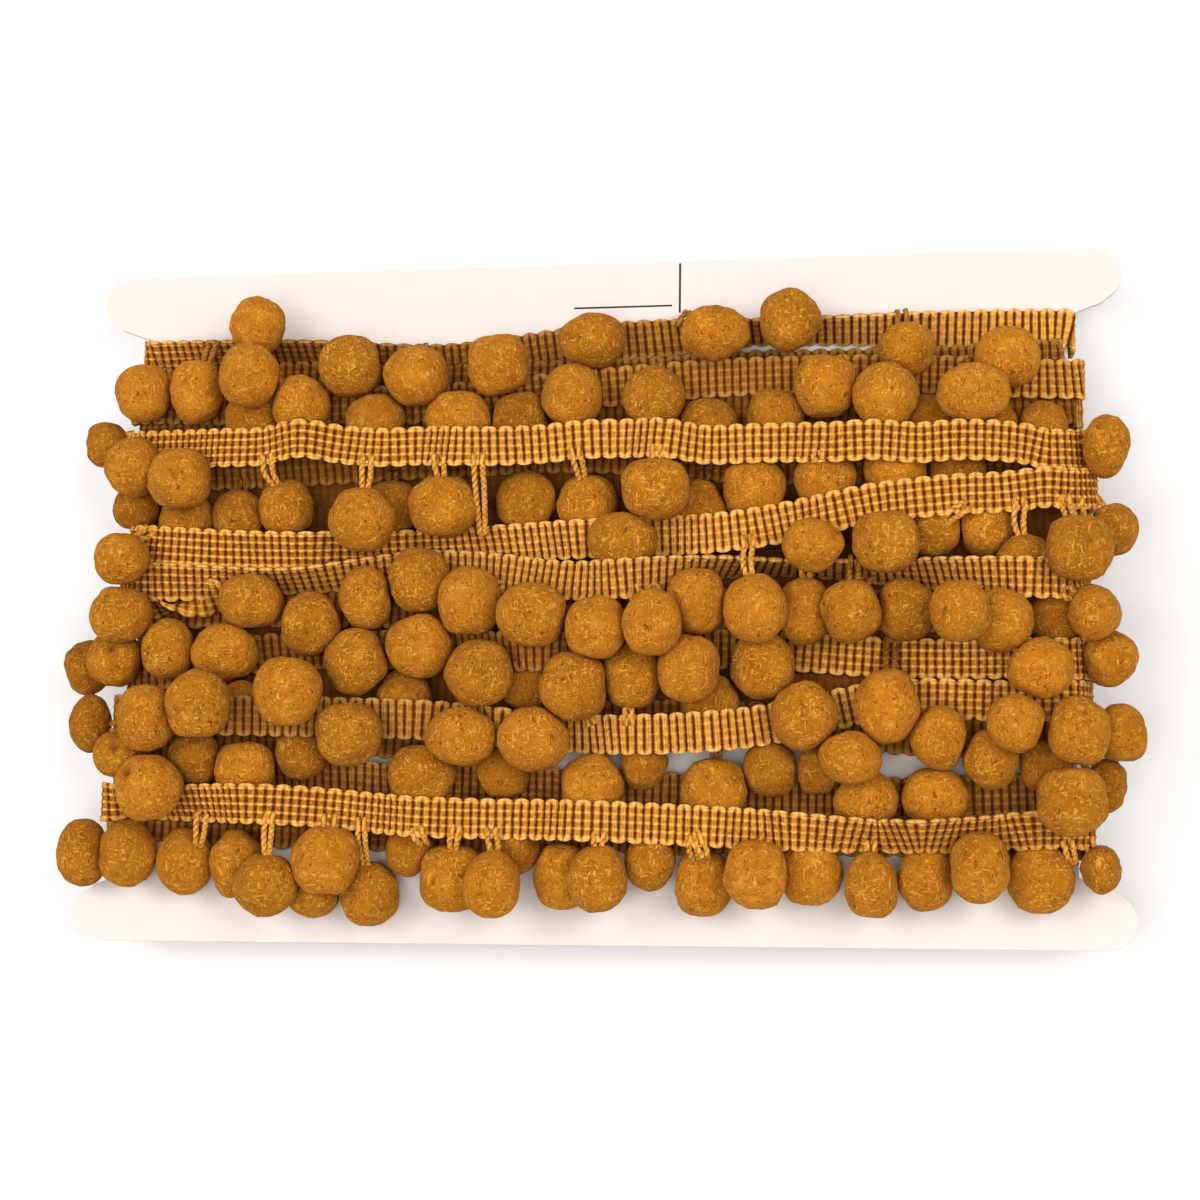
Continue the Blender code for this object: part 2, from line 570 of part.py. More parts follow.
def drop_specks(name, mesh):
    """Leaves the largest of a mesh's bodies, without the specks that a join can cut loose."""
    bm = bmesh.new()
    bm.from_mesh(mesh)
    left = set(bm.faces)
    bodies = []
    while left:
        body = {left.pop()}
        edge_of = list(body)
        while edge_of:
            beside = {face for edge in edge_of.pop().edges for face in edge.link_faces} - body
            body |= beside
            edge_of += beside
        left -= body
        bodies.append(body)
    bodies.sort(key=len)
    specks = [face for body in bodies[:-1] for face in body]
    if len(specks) > SPECK_FACES:
        raise RuntimeError(f"{name} has a piece that isn't joined to it")
    bmesh.ops.delete(bm, geom=specks, context="FACES")
    bm.to_mesh(mesh)
    bm.free()


def joined(name, bms, material, collection):
    """One closed body: the first mesh with the others joined to it."""
    base = new_object(name, bms[0], material, collection)
    parts = bpy.data.collections.new(name + "_joined")
    bpy.context.scene.collection.children.link(parts)
    for k, bm in enumerate(bms[1:]):
        piece = new_object(f"{name}_piece_{k:02d}", bm, material, parts)
        piece.hide_render = True
        piece.display_type = "WIRE"
    union = base.modifiers.new("join", "BOOLEAN")
    union.operation = "UNION"
    union.operand_type = "COLLECTION"
    union.collection = parts
    union.solver = "EXACT"
    evaluated = base.evaluated_get(bpy.context.evaluated_depsgraph_get())
    mesh = bpy.data.meshes.new_from_object(evaluated)
    base.modifiers.clear()
    base.data = mesh
    drop_specks(name, mesh)
    for piece in list(parts.objects):
        bpy.data.objects.remove(piece)
    bpy.data.collections.remove(parts)
    return base


def make_courses(paths, pompoms, face, prefix, material, collection):
    """One body a course: its braid, with its pompoms joined to it by their loops."""
    for number, k in enumerate(sorted(paths)):
        bms = [braid_mesh(paths[k], face)]
        for course, centre, semi, root in pompoms:
            if course == k:
                polars = COARSE_POLARS if face < 0 or semi[2] < FRONT_DEPTH else POM_POLARS
                bms.append(pompom_mesh(root, centre, semi, face, polars))
        joined(f"{prefix}_{number + 1:02d}", bms, material, collection)


def card_outline():
    """The card's outline as (x, y) points: a round-ended flange above and below a narrower waist."""
    flange = [(WAIST_X, WAIST_Y), (NECK_X, NECK_Y)]
    for turn in np.radians(END_TURNS):
        flange.append((CARD_W / 2 - END_R * (1 - cos(turn)), CARD_H / 2 - END_R * (1 - sin(turn))))
    top = flange + [(-x, y) for x, y in flange[::-1]]
    return top + [(-x, -y) for x, y in top]


def make_card(material, collection):
    """The card: its outline, filled and given the card's thickness."""
    curve = bpy.data.curves.new("card", "CURVE")
    curve.dimensions = "2D"
    curve.fill_mode = "BOTH"
    curve.extrude = CARD_T / 2 * MM
    outline = card_outline()
    spline = curve.splines.new("POLY")
    spline.points.add(len(outline) - 1)
    for point, (x, y) in zip(spline.points, outline):
        point.co = (x * MM, y * MM, 0, 1)
    spline.use_cyclic_u = True
    curve.materials.append(material)
    card = bpy.data.objects.new("card", curve)
    card.location.z = (BACK_DEPTH + CARD_T / 2) * MM
    collection.objects.link(card)


def make_core(name, face, material, collection):
    """The inner turns on one face of the card: a low pad with its upper edges rounded over."""
    stretch = (CORE_END_X - CORE_STRAIGHT_X) / CORE_SLOPE
    bm = bmesh.new()
    bmesh.ops.create_cube(bm, size=1.0)
    bmesh.ops.scale(bm, vec=(2 * CORE_END_X / stretch, 2 * CORE_HALF_Y, CORE_H), verts=bm.verts)
    upper = [edge for edge in bm.edges if all(v.co.z > 0 for v in edge.verts)]
    bmesh.ops.bevel(
        bm, geom=upper, offset=CORE_SLOPE, segments=CORE_SEGMENTS, profile=0.5, affect="EDGES"
    )
    for v in bm.verts:
        v.co = to_world((v.co.x * stretch, v.co.y + CORE_MID_Y, v.co.z + CORE_H / 2 + REST_GAP), face)
    return new_object(name, bm, material, collection)


def principled(name, colour, roughness):
    material = bpy.data.materials.new(name)
    material.use_nodes = True
    shader = material.node_tree.nodes["Principled BSDF"]
    shader.inputs["Base Color"].default_value = (*colour, 1.0)
    shader.inputs["Roughness"].default_value = roughness
    shader.inputs["Metallic"].default_value = 0.0
    return material


def main():
    for obj in list(bpy.data.objects):
        bpy.data.objects.remove(obj)
    collection = bpy.data.collections.new("pompom_fringe_trim")
    bpy.context.scene.collection.children.link(collection)
    card_white = principled("card_board", (0.93, 0.90, 0.85), 0.6)
    yarn = principled("ochre_yarn", (0.46, 0.17, 0.02), 0.95)
    make_card(card_white, collection)
    make_core("inner_turns_front", 1, yarn, collection)
    make_core("inner_turns_back", -1, yarn, collection)
    make_courses(*settle_front(), 1, "front_course", yarn, collection)
    make_courses(*settle_back(), -1, "back_course", yarn, collection)


main()
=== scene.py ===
"""Dresses the wound pompom trim: its card, its woven braid, its twisted loops and its felted pompoms.

Lengths are millimetres until a mesh is made. The tables and the settling of the pile are the same as
those that set out the solids, so every piece lies where its solid lies.
"""

import functools
from math import cos, pi, radians, sin, sqrt

import bmesh
import bpy
import numpy as np
from bpy.props import FloatProperty, FloatVectorProperty, IntProperty, PointerProperty
from mathutils import Matrix, Vector


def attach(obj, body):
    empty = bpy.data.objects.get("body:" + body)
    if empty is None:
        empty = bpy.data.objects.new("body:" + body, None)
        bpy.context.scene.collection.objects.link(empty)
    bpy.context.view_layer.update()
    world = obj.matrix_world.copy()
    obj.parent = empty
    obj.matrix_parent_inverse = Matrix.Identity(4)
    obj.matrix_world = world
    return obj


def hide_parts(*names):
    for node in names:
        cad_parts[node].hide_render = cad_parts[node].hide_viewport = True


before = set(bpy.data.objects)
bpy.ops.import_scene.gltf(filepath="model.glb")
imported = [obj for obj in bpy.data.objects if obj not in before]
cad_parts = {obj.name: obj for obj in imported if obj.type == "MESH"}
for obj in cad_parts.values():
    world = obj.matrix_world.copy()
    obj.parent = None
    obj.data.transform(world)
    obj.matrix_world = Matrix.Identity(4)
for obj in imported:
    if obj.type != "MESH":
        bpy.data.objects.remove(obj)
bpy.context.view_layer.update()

bl_info = {
    "name": "Pompom Trim on a Card",
    "version": (1, 0, 0),
    "blender": (4, 5, 0),
    "location": "View3D > Sidebar > Trim",
    "description": "Makes a wound length of pompom fringe trim in fine detail",
    "category": "Mesh",
}

MM = 0.001

# Card
CARD_W, CARD_H, CARD_T = 229.0, 151.0, 1.5
WAIST_X, WAIST_Y = 102.8, 60.5
NECK_X, NECK_Y = 110.2, 63.2
PIECE_GAP = 0.3
MID_CARD_H = -CARD_T / 2
FOLD_END_H = MID_CARD_H + PIECE_GAP / 2

# Its round corners, by their turn in degrees, its soft rims, and how even in height a level edge is
END_R, END_TURNS, END_POINTS = 6.0, (-60, 90), 21
RIM_ROUND, RIM_SEGMENTS, RIM_PROFILE = 0.18, 2, 0.6
EVEN = 1e-6

# Trim
BRAID_W, BRAID_T = 8.4, 1.2
BRAID_EDGE = 0.88
LOOP_R = 1.1
FRONT_DEPTH, DEEP_DEPTH, SIDE_DEPTH = 5.5, 4.3, 4.6
DEEP_ORDER = 1.3
SOFT = 0.485
FLAT_AT = 0.8

# Inner turns of the winding, front and back
CORE_H = 4.6
CORE_MID_Y, CORE_HALF_Y, CORE_SLOPE = 8.5, 38.5, 4.5
CORE_STRAIGHT_X, CORE_END_X = 88.0, 103.0
CORE_CLEAR = 1.2

# Clearances, and how things settle on the pile: a slip is a distance and how many ways it is tried
LOOP_REACH, LOOP_CLEAR, LOOP_SPREAD, LOOP_SEAT = 22.0, 1.3, 14.0, 1.2
GAP = 0.6
REST_GAP = 0.3
BRAID_SLOPE = 0.42
FOLD_DIP = 0.45
SIDE_CLEAR = 1.0
SLIP_COST, TIGHT_COST = 1.3, 330.0
SLIPS = ((0.0, 1), (1.0, 8), (2.0, 8), (3.0, 10))
FIRST_BRAID_H, FIRST_POM_H = 8.0, 14.0
FINE_STEP, BEAD_STEP = 3.0, 1.6
FRONT_KNOT_STEP, BACK_KNOT_STEP = 8.8, 14.0
BRAID_ROUNDS, RAISE_ROUNDS, REST_ROUNDS = 3, 4, 4
REST_EASE, REST_TAKE = 0.4, 0.6
BRAID_PROBES, BRAID_BEADS, ROUTE_BEADS = (-1, -0.5, 0, 0.5, 1), 7, 9
EDGE_KNOTS = (93.0, 97.0, 100.5)
END_X = EDGE_KNOTS[-1]
BACK_DEPTH = 17.2

# Height over the card at which the tables are set out, the height at which braids are taken to pass
# round its edges, and the point that the tables are seen from
READ_H, EDGE_H = 12.0, 1.0
EYE = (72.5, -86.0, 487.6)

STATION_X = (-99, -66, -33, 0, 33, 66, 99)

# name, order in the pile, braid centre y at each station, braid roll in degrees at each station
FRONT = (
    ("a", 0.7, (52.8, 53.0, 50.3, 53.5, 55.0, 54.8, 54.0), (40, 62, 35, 10, 62, 48, 5)),
    ("b", 0.5, (42.0, 41.0, 41.0, 43.4, 45.2, 45.0, 43.0), (0, 10, 15, 10, 0, 0, 0)),
    ("b2", 0.0, (37.0, 37.5, 38.0, 38.0, 37.5, 37.0, 37.5), (0, 0, 0, 0, 10, 0, 0)),
    ("c", 3.0, (31.8, 32.0, 31.3, 30.7, 30.5, 30.2, 27.6), (5, 0, 0, 0, 0, 5, 5)),
    ("c2", 0.3, (26.5, 27.2, 28.5, 29.0, 26.0, 25.0, 24.5), (10, 20, 15, 10, 0, 0, 0)),
    ("d", 3.2, (10.5, 8.6, 9.2, 10.3, 11.6, 17.6, 19.6), (0, 28, 38, 20, 5, 5, 10)),
    ("e", 3.6, (2.1, 2.0, 4.2, 1.0, 3.6, 2.2, 0.6), (10, 60, 25, 0, 75, 60, 5)),
    ("f", 0.2, (-4.3, -4.0, -5.0, -6.0, -5.0, -6.0, -8.0), (0, 0, 0, 0, 0, 0, 0)),
    ("g", 1.5, (-18.0, -13.5, -13.5, -14.0, -13.8, -16.0, -16.2), (0, 15, 20, 15, 0, 5, 5)),
    ("h", 1.6, (-27.0, -27.6, -28.6, -31.6, -30.6, -24.6, -26.0), (0, 10, 15, 20, 5, 20, 5)),
    ("h2", 0.1, (-33.0, -31.0, -33.0, -29.0, -29.0, -32.0, -33.0), (0, 0, 0, 0, 0, 0, 0)),
    ("i", 0.4, (-41.0, -40.8, -41.8, -43.2, -44.5, -45.0, -44.2), (0, 20, 20, 15, 10, 5, 5)),
    ("j", 3.1, (-46.2, -46.6, -49.2, -49.9, -51.3, -52.9, -51.3), (45, 10, 5, 0, 12, 45, 25)),
    ("k", 0.5, (-50.5, -52.0, -52.5, -52.5, -53.0, -53.0, -53.5), (0, 0, 0, 0, 0, 0, 0)),
)

# course: rows of x, y, width, height, order in the pile
POMPOMS = {
    "a": (
        (-87.7, 45, 10.5, 13.6, 2), (-74.5, 59.5, 11.4, 13.4, 1.3), (-54, 47, 13, 13.2, 2),
        (-38, 47.3, 13.6, 12.3, 2), (0, 51.5, 14.5, 11.5, 2.4),
        (27.3, 54.2, 14.5, 11, 2.4), (43.6, 57.6, 12.5, 13, 2), (68.5, 50.5, 11.5, 11, 2),
        (89.5, 48, 13.3, 12, 2),
    ),
    "b": (
        (-100, 45, 11.8, 12, 2), (-75, 47.3, 12.6, 13.4, 2.2), (-65, 41.5, 12, 11.5, 1.8),
        (-28.2, 39, 14, 11, 2), (-19, 46.5, 13, 13, 2.2), (-6.5, 42, 13, 13.4, 2),
        (14.3, 41.3, 13, 12.5, 2), (48.6, 41, 13, 13, 2), (64.6, 41, 13.4, 13.4, 2),
        (82.3, 40.5, 14.6, 11.5, 2),
    ),
    "b2": (
        (-74.6, 38.5, 12, 11, 0.8), (-47, 37.5, 12.5, 11, 0.8), (-15, 37, 12, 12, 0.8),
        (26, 35, 12, 11, 0.8), (40.5, 36.5, 12, 11, 0.8), (73, 34.5, 11, 11, 0.8),
        (85.5, 33.5, 11, 11, 0.8), (96.5, 32.5, 10.5, 11, 0.8),
    ),
    "c": (
        (-101.5, 28, 12, 12.6, 3.5), (-90.7, 25, 13, 13, 3.8), (-66.5, 18, 11.6, 12.6, 3.0),
        (-49.3, 15.2, 13.6, 13.4, 3.8), (-31.3, 17.8, 14, 13, 3.4), (0.2, 18, 12.6, 12.2, 3.1),
        (14.9, 21, 14.2, 12.8, 3.5), (51, 22.5, 12.5, 12, 2.9),
        (107, 26.7, 9, 12.6, 3.3),
    ),
    "c2": (
        (-89, 16, 11.5, 11, 1), (-77, 16.3, 11, 11.6, 1.1), (-43, 18, 12, 12, 0.9),
        (-13, 19, 13, 12.4, 1), (24, 16.5, 11.5, 11.5, 1), (34.9, 20.6, 13.4, 12.6, 2.2),
        (65.8, 24.2, 12.5, 11.5, 2), (79, 23.5, 11.5, 11.5, 1.2), (-100.8, 19.2, 10, 9.6, 1.1),
        (73.8, 11.4, 10.5, 11.5, 1.3), (82.6, 11.4, 10.5, 11.5, 1.3),
    ),
    "d": (
        (-103.2, 7.2, 11.6, 11.2, 3.8),
        (8, 9.6, 14.2, 11.8, 3.4), (35.4, -5.3, 13, 14, 3.9), (48.5, 8.2, 12, 10.5, 3.65),
        (63.8, 8.7, 13.4, 12.4, 3.65), (90, 5.5, 11.8, 11.5, 3.4), (103.7, 6.8, 13.2, 13, 3.8),
        (108.8, 11, 9.5, 10.4, 3.25),
    ),
    "e": (
        (-103.7, -4.3, 13, 12, 3.8), (-74.4, -5.3, 14, 11.2, 3.9), (-48.9, -2, 11, 13.6, 3.7),
        (-37.8, 0.5, 12.8, 13.6, 3.9), (-25.2, -3, 13, 14.2, 3.9),
        (12.6, -8.1, 11.8, 13.4, 3.9), (46, -2.3, 11.2, 13.8, 3.7), (56.4, -5.9, 11.8, 12.2, 3.9),
        (79, -6.3, 11.4, 12.2, 3.9), (106.2, -6.9, 10, 11, 3.65),
    ),
    "f": (
        (-91.8, -12.8, 10.6, 13, 2.2), (-60, -7.5, 12.5, 13.6, 2.6), (-11.3, -6, 14.4, 13.4, 3.7),
        (0.2, -10.8, 12.6, 12.6, 3.65), (24, -3.5, 11.8, 13.8, 3.8), (67.8, -5.8, 11.2, 12.6, 3.8),
        (90.4, -8.4, 12.8, 12.4, 3.8), (98.4, -7.8, 10.5, 11, 1),
    ),
    "g": (
        (-102, -14.9, 11.4, 12, 2.6), (-79.5, -14.5, 14, 12.4, 2.4), (-50, -17.6, 13.2, 14, 2.6),
        (-36.7, -12.1, 14, 13, 2.8), (-22.4, -18.7, 13.8, 14, 2.4), (-12, -21, 11, 11.5, 0.7),
        (22.3, -17.9, 12.5, 13.8, 2.6), (35.5, -19.2, 13, 13.8, 2.6), (64.8, -29, 12.8, 14.8, 2.6),
        (95.3, -18.4, 13, 11.4, 2.4), (106.4, -16.4, 10.5, 11, 2.2),
    ),
    "h": (
        (-95.8, -28, 11.7, 14, 2.2), (-85.5, -24.9, 13.4, 14, 2.6), (-64.3, -22.3, 14, 14.2, 2.6),
        (-50.6, -31.5, 13.6, 12.8, 2.5), (-26.1, -31.1, 14.4, 12, 2.6), (-10.5, -32.7, 14.4, 13, 2.5),
        (-2.1, -22.5, 13.6, 14, 2.8), (11.2, -22.2, 11.8, 13.6, 2.7), (48, -29.4, 13.4, 13.4, 2.8),
        (75.3, -32.5, 11.2, 13, 2.4), (90, -29.5, 11.4, 11.6, 2.4), (101.8, -30.8, 12, 13.6, 2.7),
        (108, -31.8, 10, 11.6, 1.8),
    ),
    "h2": (
        (-85, -36.5, 11, 11.5, 0.9), (-75, -25.5, 11, 11, 0.8), (-61, -35.5, 11, 11, 0.8),
        (-39, -23.5, 11.5, 12, 0.8), (-34.7, -39.4, 14, 13.4, 2.2),
        (3.1, -39.6, 13, 12.6, 2.2), (27, -25, 12, 11, 0.8), (28.8, -40.4, 13.4, 12.2, 2.2),
        (56.3, -36.8, 12.4, 10.5, 2.1), (84.8, -37.2, 10.4, 11.6, 2),
    ),
    "i": (
        (-101.5, -36, 10.5, 9.6, 1.9), (-73, -37, 12.8, 11, 2),
        (-17, -39.5, 10.5, 10.5, 0.9), (13, -38, 9.5, 10, 0.9), (39.5, -38, 10.5, 11, 0.9),
        (49, -38.5, 9, 10, 0.9), (58.4, -45.4, 13, 11.4, 2), (73.3, -44.7, 13.6, 11.8, 2),
        (96, -38.5, 10.5, 10.5, 0.9), (101, -45.8, 13.4, 13.6, 3.5),
    ),
    "j": (
        (-94.6, -43, 13.8, 14, 3.5), (-67.9, -63.7, 13.2, 12.8, 3.4), (-56.7, -57, 14, 14, 3.9),
        (-44.4, -62.4, 12.2, 13.5, 3.4), (-29.9, -60.2, 13.4, 14, 3.4), (-18.9, -63.5, 11.6, 13.4, 3.4),
        (3.5, -62, 12, 13.4, 3.4), (23.6, -62.8, 12, 13.4, 3.4), (36.5, -60.7, 12.6, 14, 3.4),
        (60.2, -61, 10.8, 13, 3.4), (82.3, -59.2, 11.8, 14, 3.5), (105.5, -56.6, 7.5, 9, 3.4),
    ),
    "k": (
        (-109, -57, 10, 14, 1.8), (-100.6, -57.2, 12, 14.2, 2), (-88.3, -57.2, 12, 14.2, 2),
        (-77.2, -57.5, 11, 14.2, 2), (-57.5, -66, 11, 8.5, 1.5), (-37, -56.5, 9.5, 10, 1.2),
        (-14, -56, 9.5, 10, 1.2), (-6, -61.5, 11.6, 13.8, 2), (14.5, -58.5, 10.5, 11.5, 1.5),
        (47.8, -60.7, 13, 12.5, 2), (71.2, -61.6, 11.2, 13.4, 2), (94.5, -61.5, 13.2, 13.6, 2),
    ),
}

# Pompoms beside the folds: course, side, y, width along x, size along y, height over the card's face
SIDE_POMPOMS = (
    ("c", -1, 35, 8.5, 10, 5), ("g", -1, -15.4, 9.5, 12, 3), ("h", -1, -28.4, 8.5, 12.6, 6),
    ("h2", 1, -41.5, 8, 11, 1),
)

# Back of the card: one course runs from each front course's right end to the next one's left end.
# BACK_SHARES is how far each station has moved from the fold's y to the course's own.
BACK_TOP_Y, BACK_PITCH_Y = 55.0, 9.2
BACK_POM_SIZE = 12.2
BACK_POM_PITCH, BACK_POM_START = 36.0, -92.0
BACK_POM_DROP = 9.5
BACK_SHARES = (0, 0.75, 1, 1, 1, 0.75, 0)
BACK_JITTER = 1.1
BACK_SHIFTS = (0.0, 5.0, -5.0, 10.0, -10.0)
BACK_LEAST_DEPTH = 3.0
LOOP_BEADS = 10
SEED = 7

# Weave of the braid: split ribs across it, threads along it, and scallops with beads at its edges, which take
# a painted highlight
PAIR_PITCH, THREAD_PITCH, THREAD_HALF = 1.82, 1.68, 0.44
SPLIT_DEPTH, SPLIT_HALF = 0.32, 0.30
THREAD_ROWS, THREAD_MEAN, THREAD_SWING = 2, 0.74, 0.26
GRID_RIB, PLAIN_MEAN, PLAIN_SWING = 0.60, 0.88, 0.12
GROUND_H, RELIEF, SCALLOP = 0.02, 0.72, 0.74
SCALLOP_POWER, SCALLOP_MEAN = 0.7, 0.6
BEAD_V, BEAD_HALF, BEAD_LEVEL, BEAD_HIGHLIGHT = 4.0, 0.3, 0.75, 0.8
WARPS = ((0.30, 9.3), (0.12, 3.1))
FUZZ_H, FUZZ_LENGTH = 0.05, 1.3
# Crest at the centres of the braid's end caps, which gives them painted shade
END_CREST = 0.3

# The braid's mesh: columns across its top and its underside, and how far the outer ones ride the scallops
COARSE_COLUMNS = (-3.3, -2.2, -1.1, 0, 1.1, 2.2, 3.3)
EDGE_COLUMNS, EDGE_RIDES = np.array([3.86, 4.12]), np.array([0.7, 1.0])
WOVEN_HALF, SHOULDER = 3.8, 0.55
UNDER_COLUMNS, UNDER_HALF, UNDER_H, UNDER_RIDE_FROM = 4, 3.95, 0.5, 3.5
PATH_STEP = 0.5
FRONT_COARSER, BACK_COARSER = 2.2, 4.5

# Loops: radius of a soft two-ply cord, its twist and the sides of its section
CORD_R, PLY_PITCH, CORD_SIDES = 0.70, 3.0, 7
# How the two plies bulge, and how strongly their crests take a painted highlight, with painted shade between
# them
LOBE_LEAST, LOBE_SWING, LOBE_CREST = 0.55, 0.45, 1.6
# How a loop lies: over the braid's edge, then with a little sway and belly to its pompom
CORD_START, START_RANGE, CORD_RISE = 1.7, (0.3, 1.0), 0.75
CORD_REACH, CORD_OVER, CORD_ARCH = 0.9, 0.95, 0.12
CORD_SWAY, CORD_BELLY, CORD_LOOSE_LENGTH = 0.7, 0.5, 5
CORD_STEP, CORD_LEAST_ROWS, CORD_LEAST_SPAN = 0.55, 5, 0.5
CORD_SINK = 0.93
CORD_SPREAD, SPREAD_RANGE, SPREAD_CLOSING, SPREAD_BULGE = 1.0, (0.7, 1.25), 0.6, 0.5

# Pompoms: how much fuller than their solids, and how boxy; how hard they press on each other
POM_GROW, POM_PROUD, POWER_RANGE = 1.02, 0.3, (2.0, 2.35)
PRESS_GAP, PRESS_SOFT, PRESS_REACH = 0.05, 0.4, 1.05
LEAST_FACING, NO_WALL, TABLE_CLEAR = 0.05, 99.0, 0.02
# Their lumps, by width and depth, the dent where the loop goes in, the small holes that a few have, with
# painted shade in them, and how much painted shade darkens their lower part
LUMPS = ((7.5, 0.36), (2.8, 0.16), (1.1, 0.07))
DENT_DEPTH, DENT_WIDTH = 0.5, 0.16
PIT_DEPTH, PIT_WIDTH, PIT_REACH = 1.6, 0.19, 3.5
LOWER_SHADE_FROM, LOWER_SHADE_SPAN, LOWER_SHADE_MOST = 0.25, 0.75, 0.55

# Seeds of each course's pieces, ranges of random turns in radians, and the waves that ripples are made of
BRAID_FIRST_SEED, BRAID_SEEDS, LOOP_FIRST_SEED, POM_FIRST_SEED = 5, 31, 400, 60
POM_SEEDS, LUMP_SEEDS = 977, 500
PHASES, TILTS = (0, 6), (0, 3)
RIPPLE_WAVES, RIPPLE_GAIN = 6, 1.6

# Pad of inner turns: its mesh's rows and columns, the pitch and sway of the braids on it, its heights
CORE_GRID = (70, 43)
CORE_ROW_FIRST, CORE_ROW, CORE_ROW_HALF = -100, 9.2, 4.1
CORE_SWAY, CORE_SWAY_LENGTH, CORE_SHIFT = 0.9, 21, 3
CORE_SINK, CORE_RELIEF, CORE_LEAST_H, CORE_UNDER_H = 0.5, 0.35, 0.35, 0.3

# Courses whose braid is seen, and where lengthwise threads show over its ribs, by place along the card
FINE_COURSES = ("a", "b", "c", "d", "e", "g", "h", "i", "j")
GRID_X = (-105, -70, -35, 0, 35, 70, 105)


def level(value):
    """The same value at every place."""
    return (value,) * len(GRID_X)


GRID_PLAIN = level(0.5)
GRID_AT = {
    "a": (0.9, 0.8, 0.5, 0.4, 0.4, 0.2, 0.2),
    "c": (1, 1, 0.8, 0.5, 0.7, 0.8, 0.9),
    "d": (1, 1, 0.8, 0.4, 0.5, 0.8, 1),
    "e": (1, 0.8, 0.4, 0.4, 0.4, 0.5, 0.7),
    "g": (0.4, 0.4, 0.3, 0.3, 0.4, 0.8, 0.8),
    "h": (0.4, 0.4, 0.3, 0.3, 0.3, 0.6, 0.8),
    "i": (0.4, 0.4, 0.4, 0.4, 0.3, 0.5, 0.5),
    "j": (1, 1, 0.8, 0.6, 0.6, 0.8, 1),
}

# Painted shade: how much of the yarn's own colour shows, by place along the card, before it is darkened to
# the painted shade colour; less where it lies deep and shade would fall
PAINTED_SHADE_PLAIN = level(0.85)
PAINTED_SHADE_AT = {
    "a": (1, 0.55, 0.4, 0.5, 0.65, 0.95, 1),
    "b": (0.4, 0.35, 0.35, 0.5, 0.45, 0.5, 0.85),
    "b2": level(0.25),
    "c": level(1),
    "c2": (0.4, 0.35, 0.3, 0.3, 0.3, 0.3, 0.3),
    "d": level(1),
    "e": (0.9, 0.85, 0.85, 0.85, 0.8, 0.85, 0.95),
    "f": level(0.35),
    "g": (0.4, 0.35, 0.35, 0.4, 0.65, 1, 1),
    "h": (0.5, 0.45, 0.55, 0.85, 0.9, 0.9, 0.9),
    "h2": level(0.3),
    "i": (0.5, 0.5, 0.45, 0.45, 0.4, 0.45, 0.45),
    "j": (1, 1, 1, 1, 1, 0.8, 0.85),
    "k": level(0.35),
}
# Painted shade of the inner turns and of the deep pompoms, and the place along the card whose painted shade
# each course's loops take
INNER_PAINTED_SHADE, DEEP_PAINTED_SHADE = 0.08, 0.74
LOOP_PAINTED_SHADE_AT = 3

# Strands of the braid between courses, darkened by painted shade: course, painted shade, then x, y, height
# over the card, roll in radians
STRANDS = (
    ("b", 0.4, (
        (-101, 49.4, 1.3, 0), (-70, 49.8, 2.0, 0), (-35, 48.6, 2.2, 0), (0, 48.4, 2.2, 0), (35, 49.4, 2.2, 0),
        (70, 49.4, 2.0, 0), (102, 50.6, 1.3, 0),
    )),
    ("e", 0.8, ((-101, -4.2, 8.5, 6), (-92, -2.8, 9.4, 8), (-83, -0.8, 10.0, 10), (-73, 1.4, 9.5, 12))),
)

# Small holes in pompoms, with painted shade in them: x and y of the pompom, and the way the hole faces
DIMPLES = (
    (-102, -14.9, (0.2, 0.3, 0.93)), (-101.5, -36, (0.1, 0.2, 0.97)), (-94.6, -43, (-0.6, 0.45, 0.66)),
)

# Loose loops: course, x of its start, side of the braid, x and y of its end, height over the start
LOOSE_LOOPS = (
    ("c", -22.0, -1, -22.5, 11.5, -7.0), ("d", 103.0, -1, 103.5, 12.0, 2.0),
    ("d", 80.0, -1, 75.5, 12.0, -3.0), ("e", 15.5, -1, 13.5, -3.5, 1.0), ("e", 59.5, -1, 57.0, -2.5, 1.0),
    ("h", 41.0, 1, 44.0, -23.0, 1.0), ("i", 11.5, 1, 12.5, -38.5, 0.5),
    ("j", -82.0, -1, -83.0, -55.5, -3.0), ("j", -34.0, -1, -33.5, -55.0, -2.0),
    ("j", 24.5, -1, 26.0, -57.5, -1.0), ("j", 100.0, -1, 101.0, -58.5, -4.0),
    ("a", 20.0, 1, 21.5, 60.0, 1.0),
)

# Printed rules on the card: x, y of the lower left corner, width and height, and how thick the ink is
RULES = ((18.3, 63.6, 0.45, 11.4), (-5.2, 65.1, 22.0, 0.4))
INK_T = 0.04

# Camera: turn to the right, rise over the table and roll, in degrees; where it looks, and from how far
CAMERA_TURN_RISE_ROLL = (39.911, 77.190, 0.7896)
CAMERA_TARGET = (1.52056, -0.92037)
CAMERA_DISTANCE, SENSOR_WIDTH, CLIP_END = 500.0, 36.0, 20.0

# Soft lights: name, place in metres, width and height in metres, share of the power
LIGHTS = (
    ("left_softbox", (-0.65, 0.15, 1.1), (0.6, 0.6), 1.15),
    ("right_softbox", (0.65, 0.1, 1.1), (0.6, 0.6), 1.25),
    ("top_softbox", (0.0, -0.35, 1.4), (0.9, 0.6), 1.9),
)
WORLD_STRENGTH, WORLD_COLOUR = 0.32, (1.0, 0.99, 0.98, 1.0)
FLOOR_SIZE, FLOOR_Z, FLOOR_COLOUR = 6.0, -0.0003, (0.93, 0.93, 0.93, 1.0)
# Shine of a finish that asks for none of its own, and the roughness of every sheen
PLAIN_SHINE, SHEEN_ROUGHNESS = 0.25, 0.5


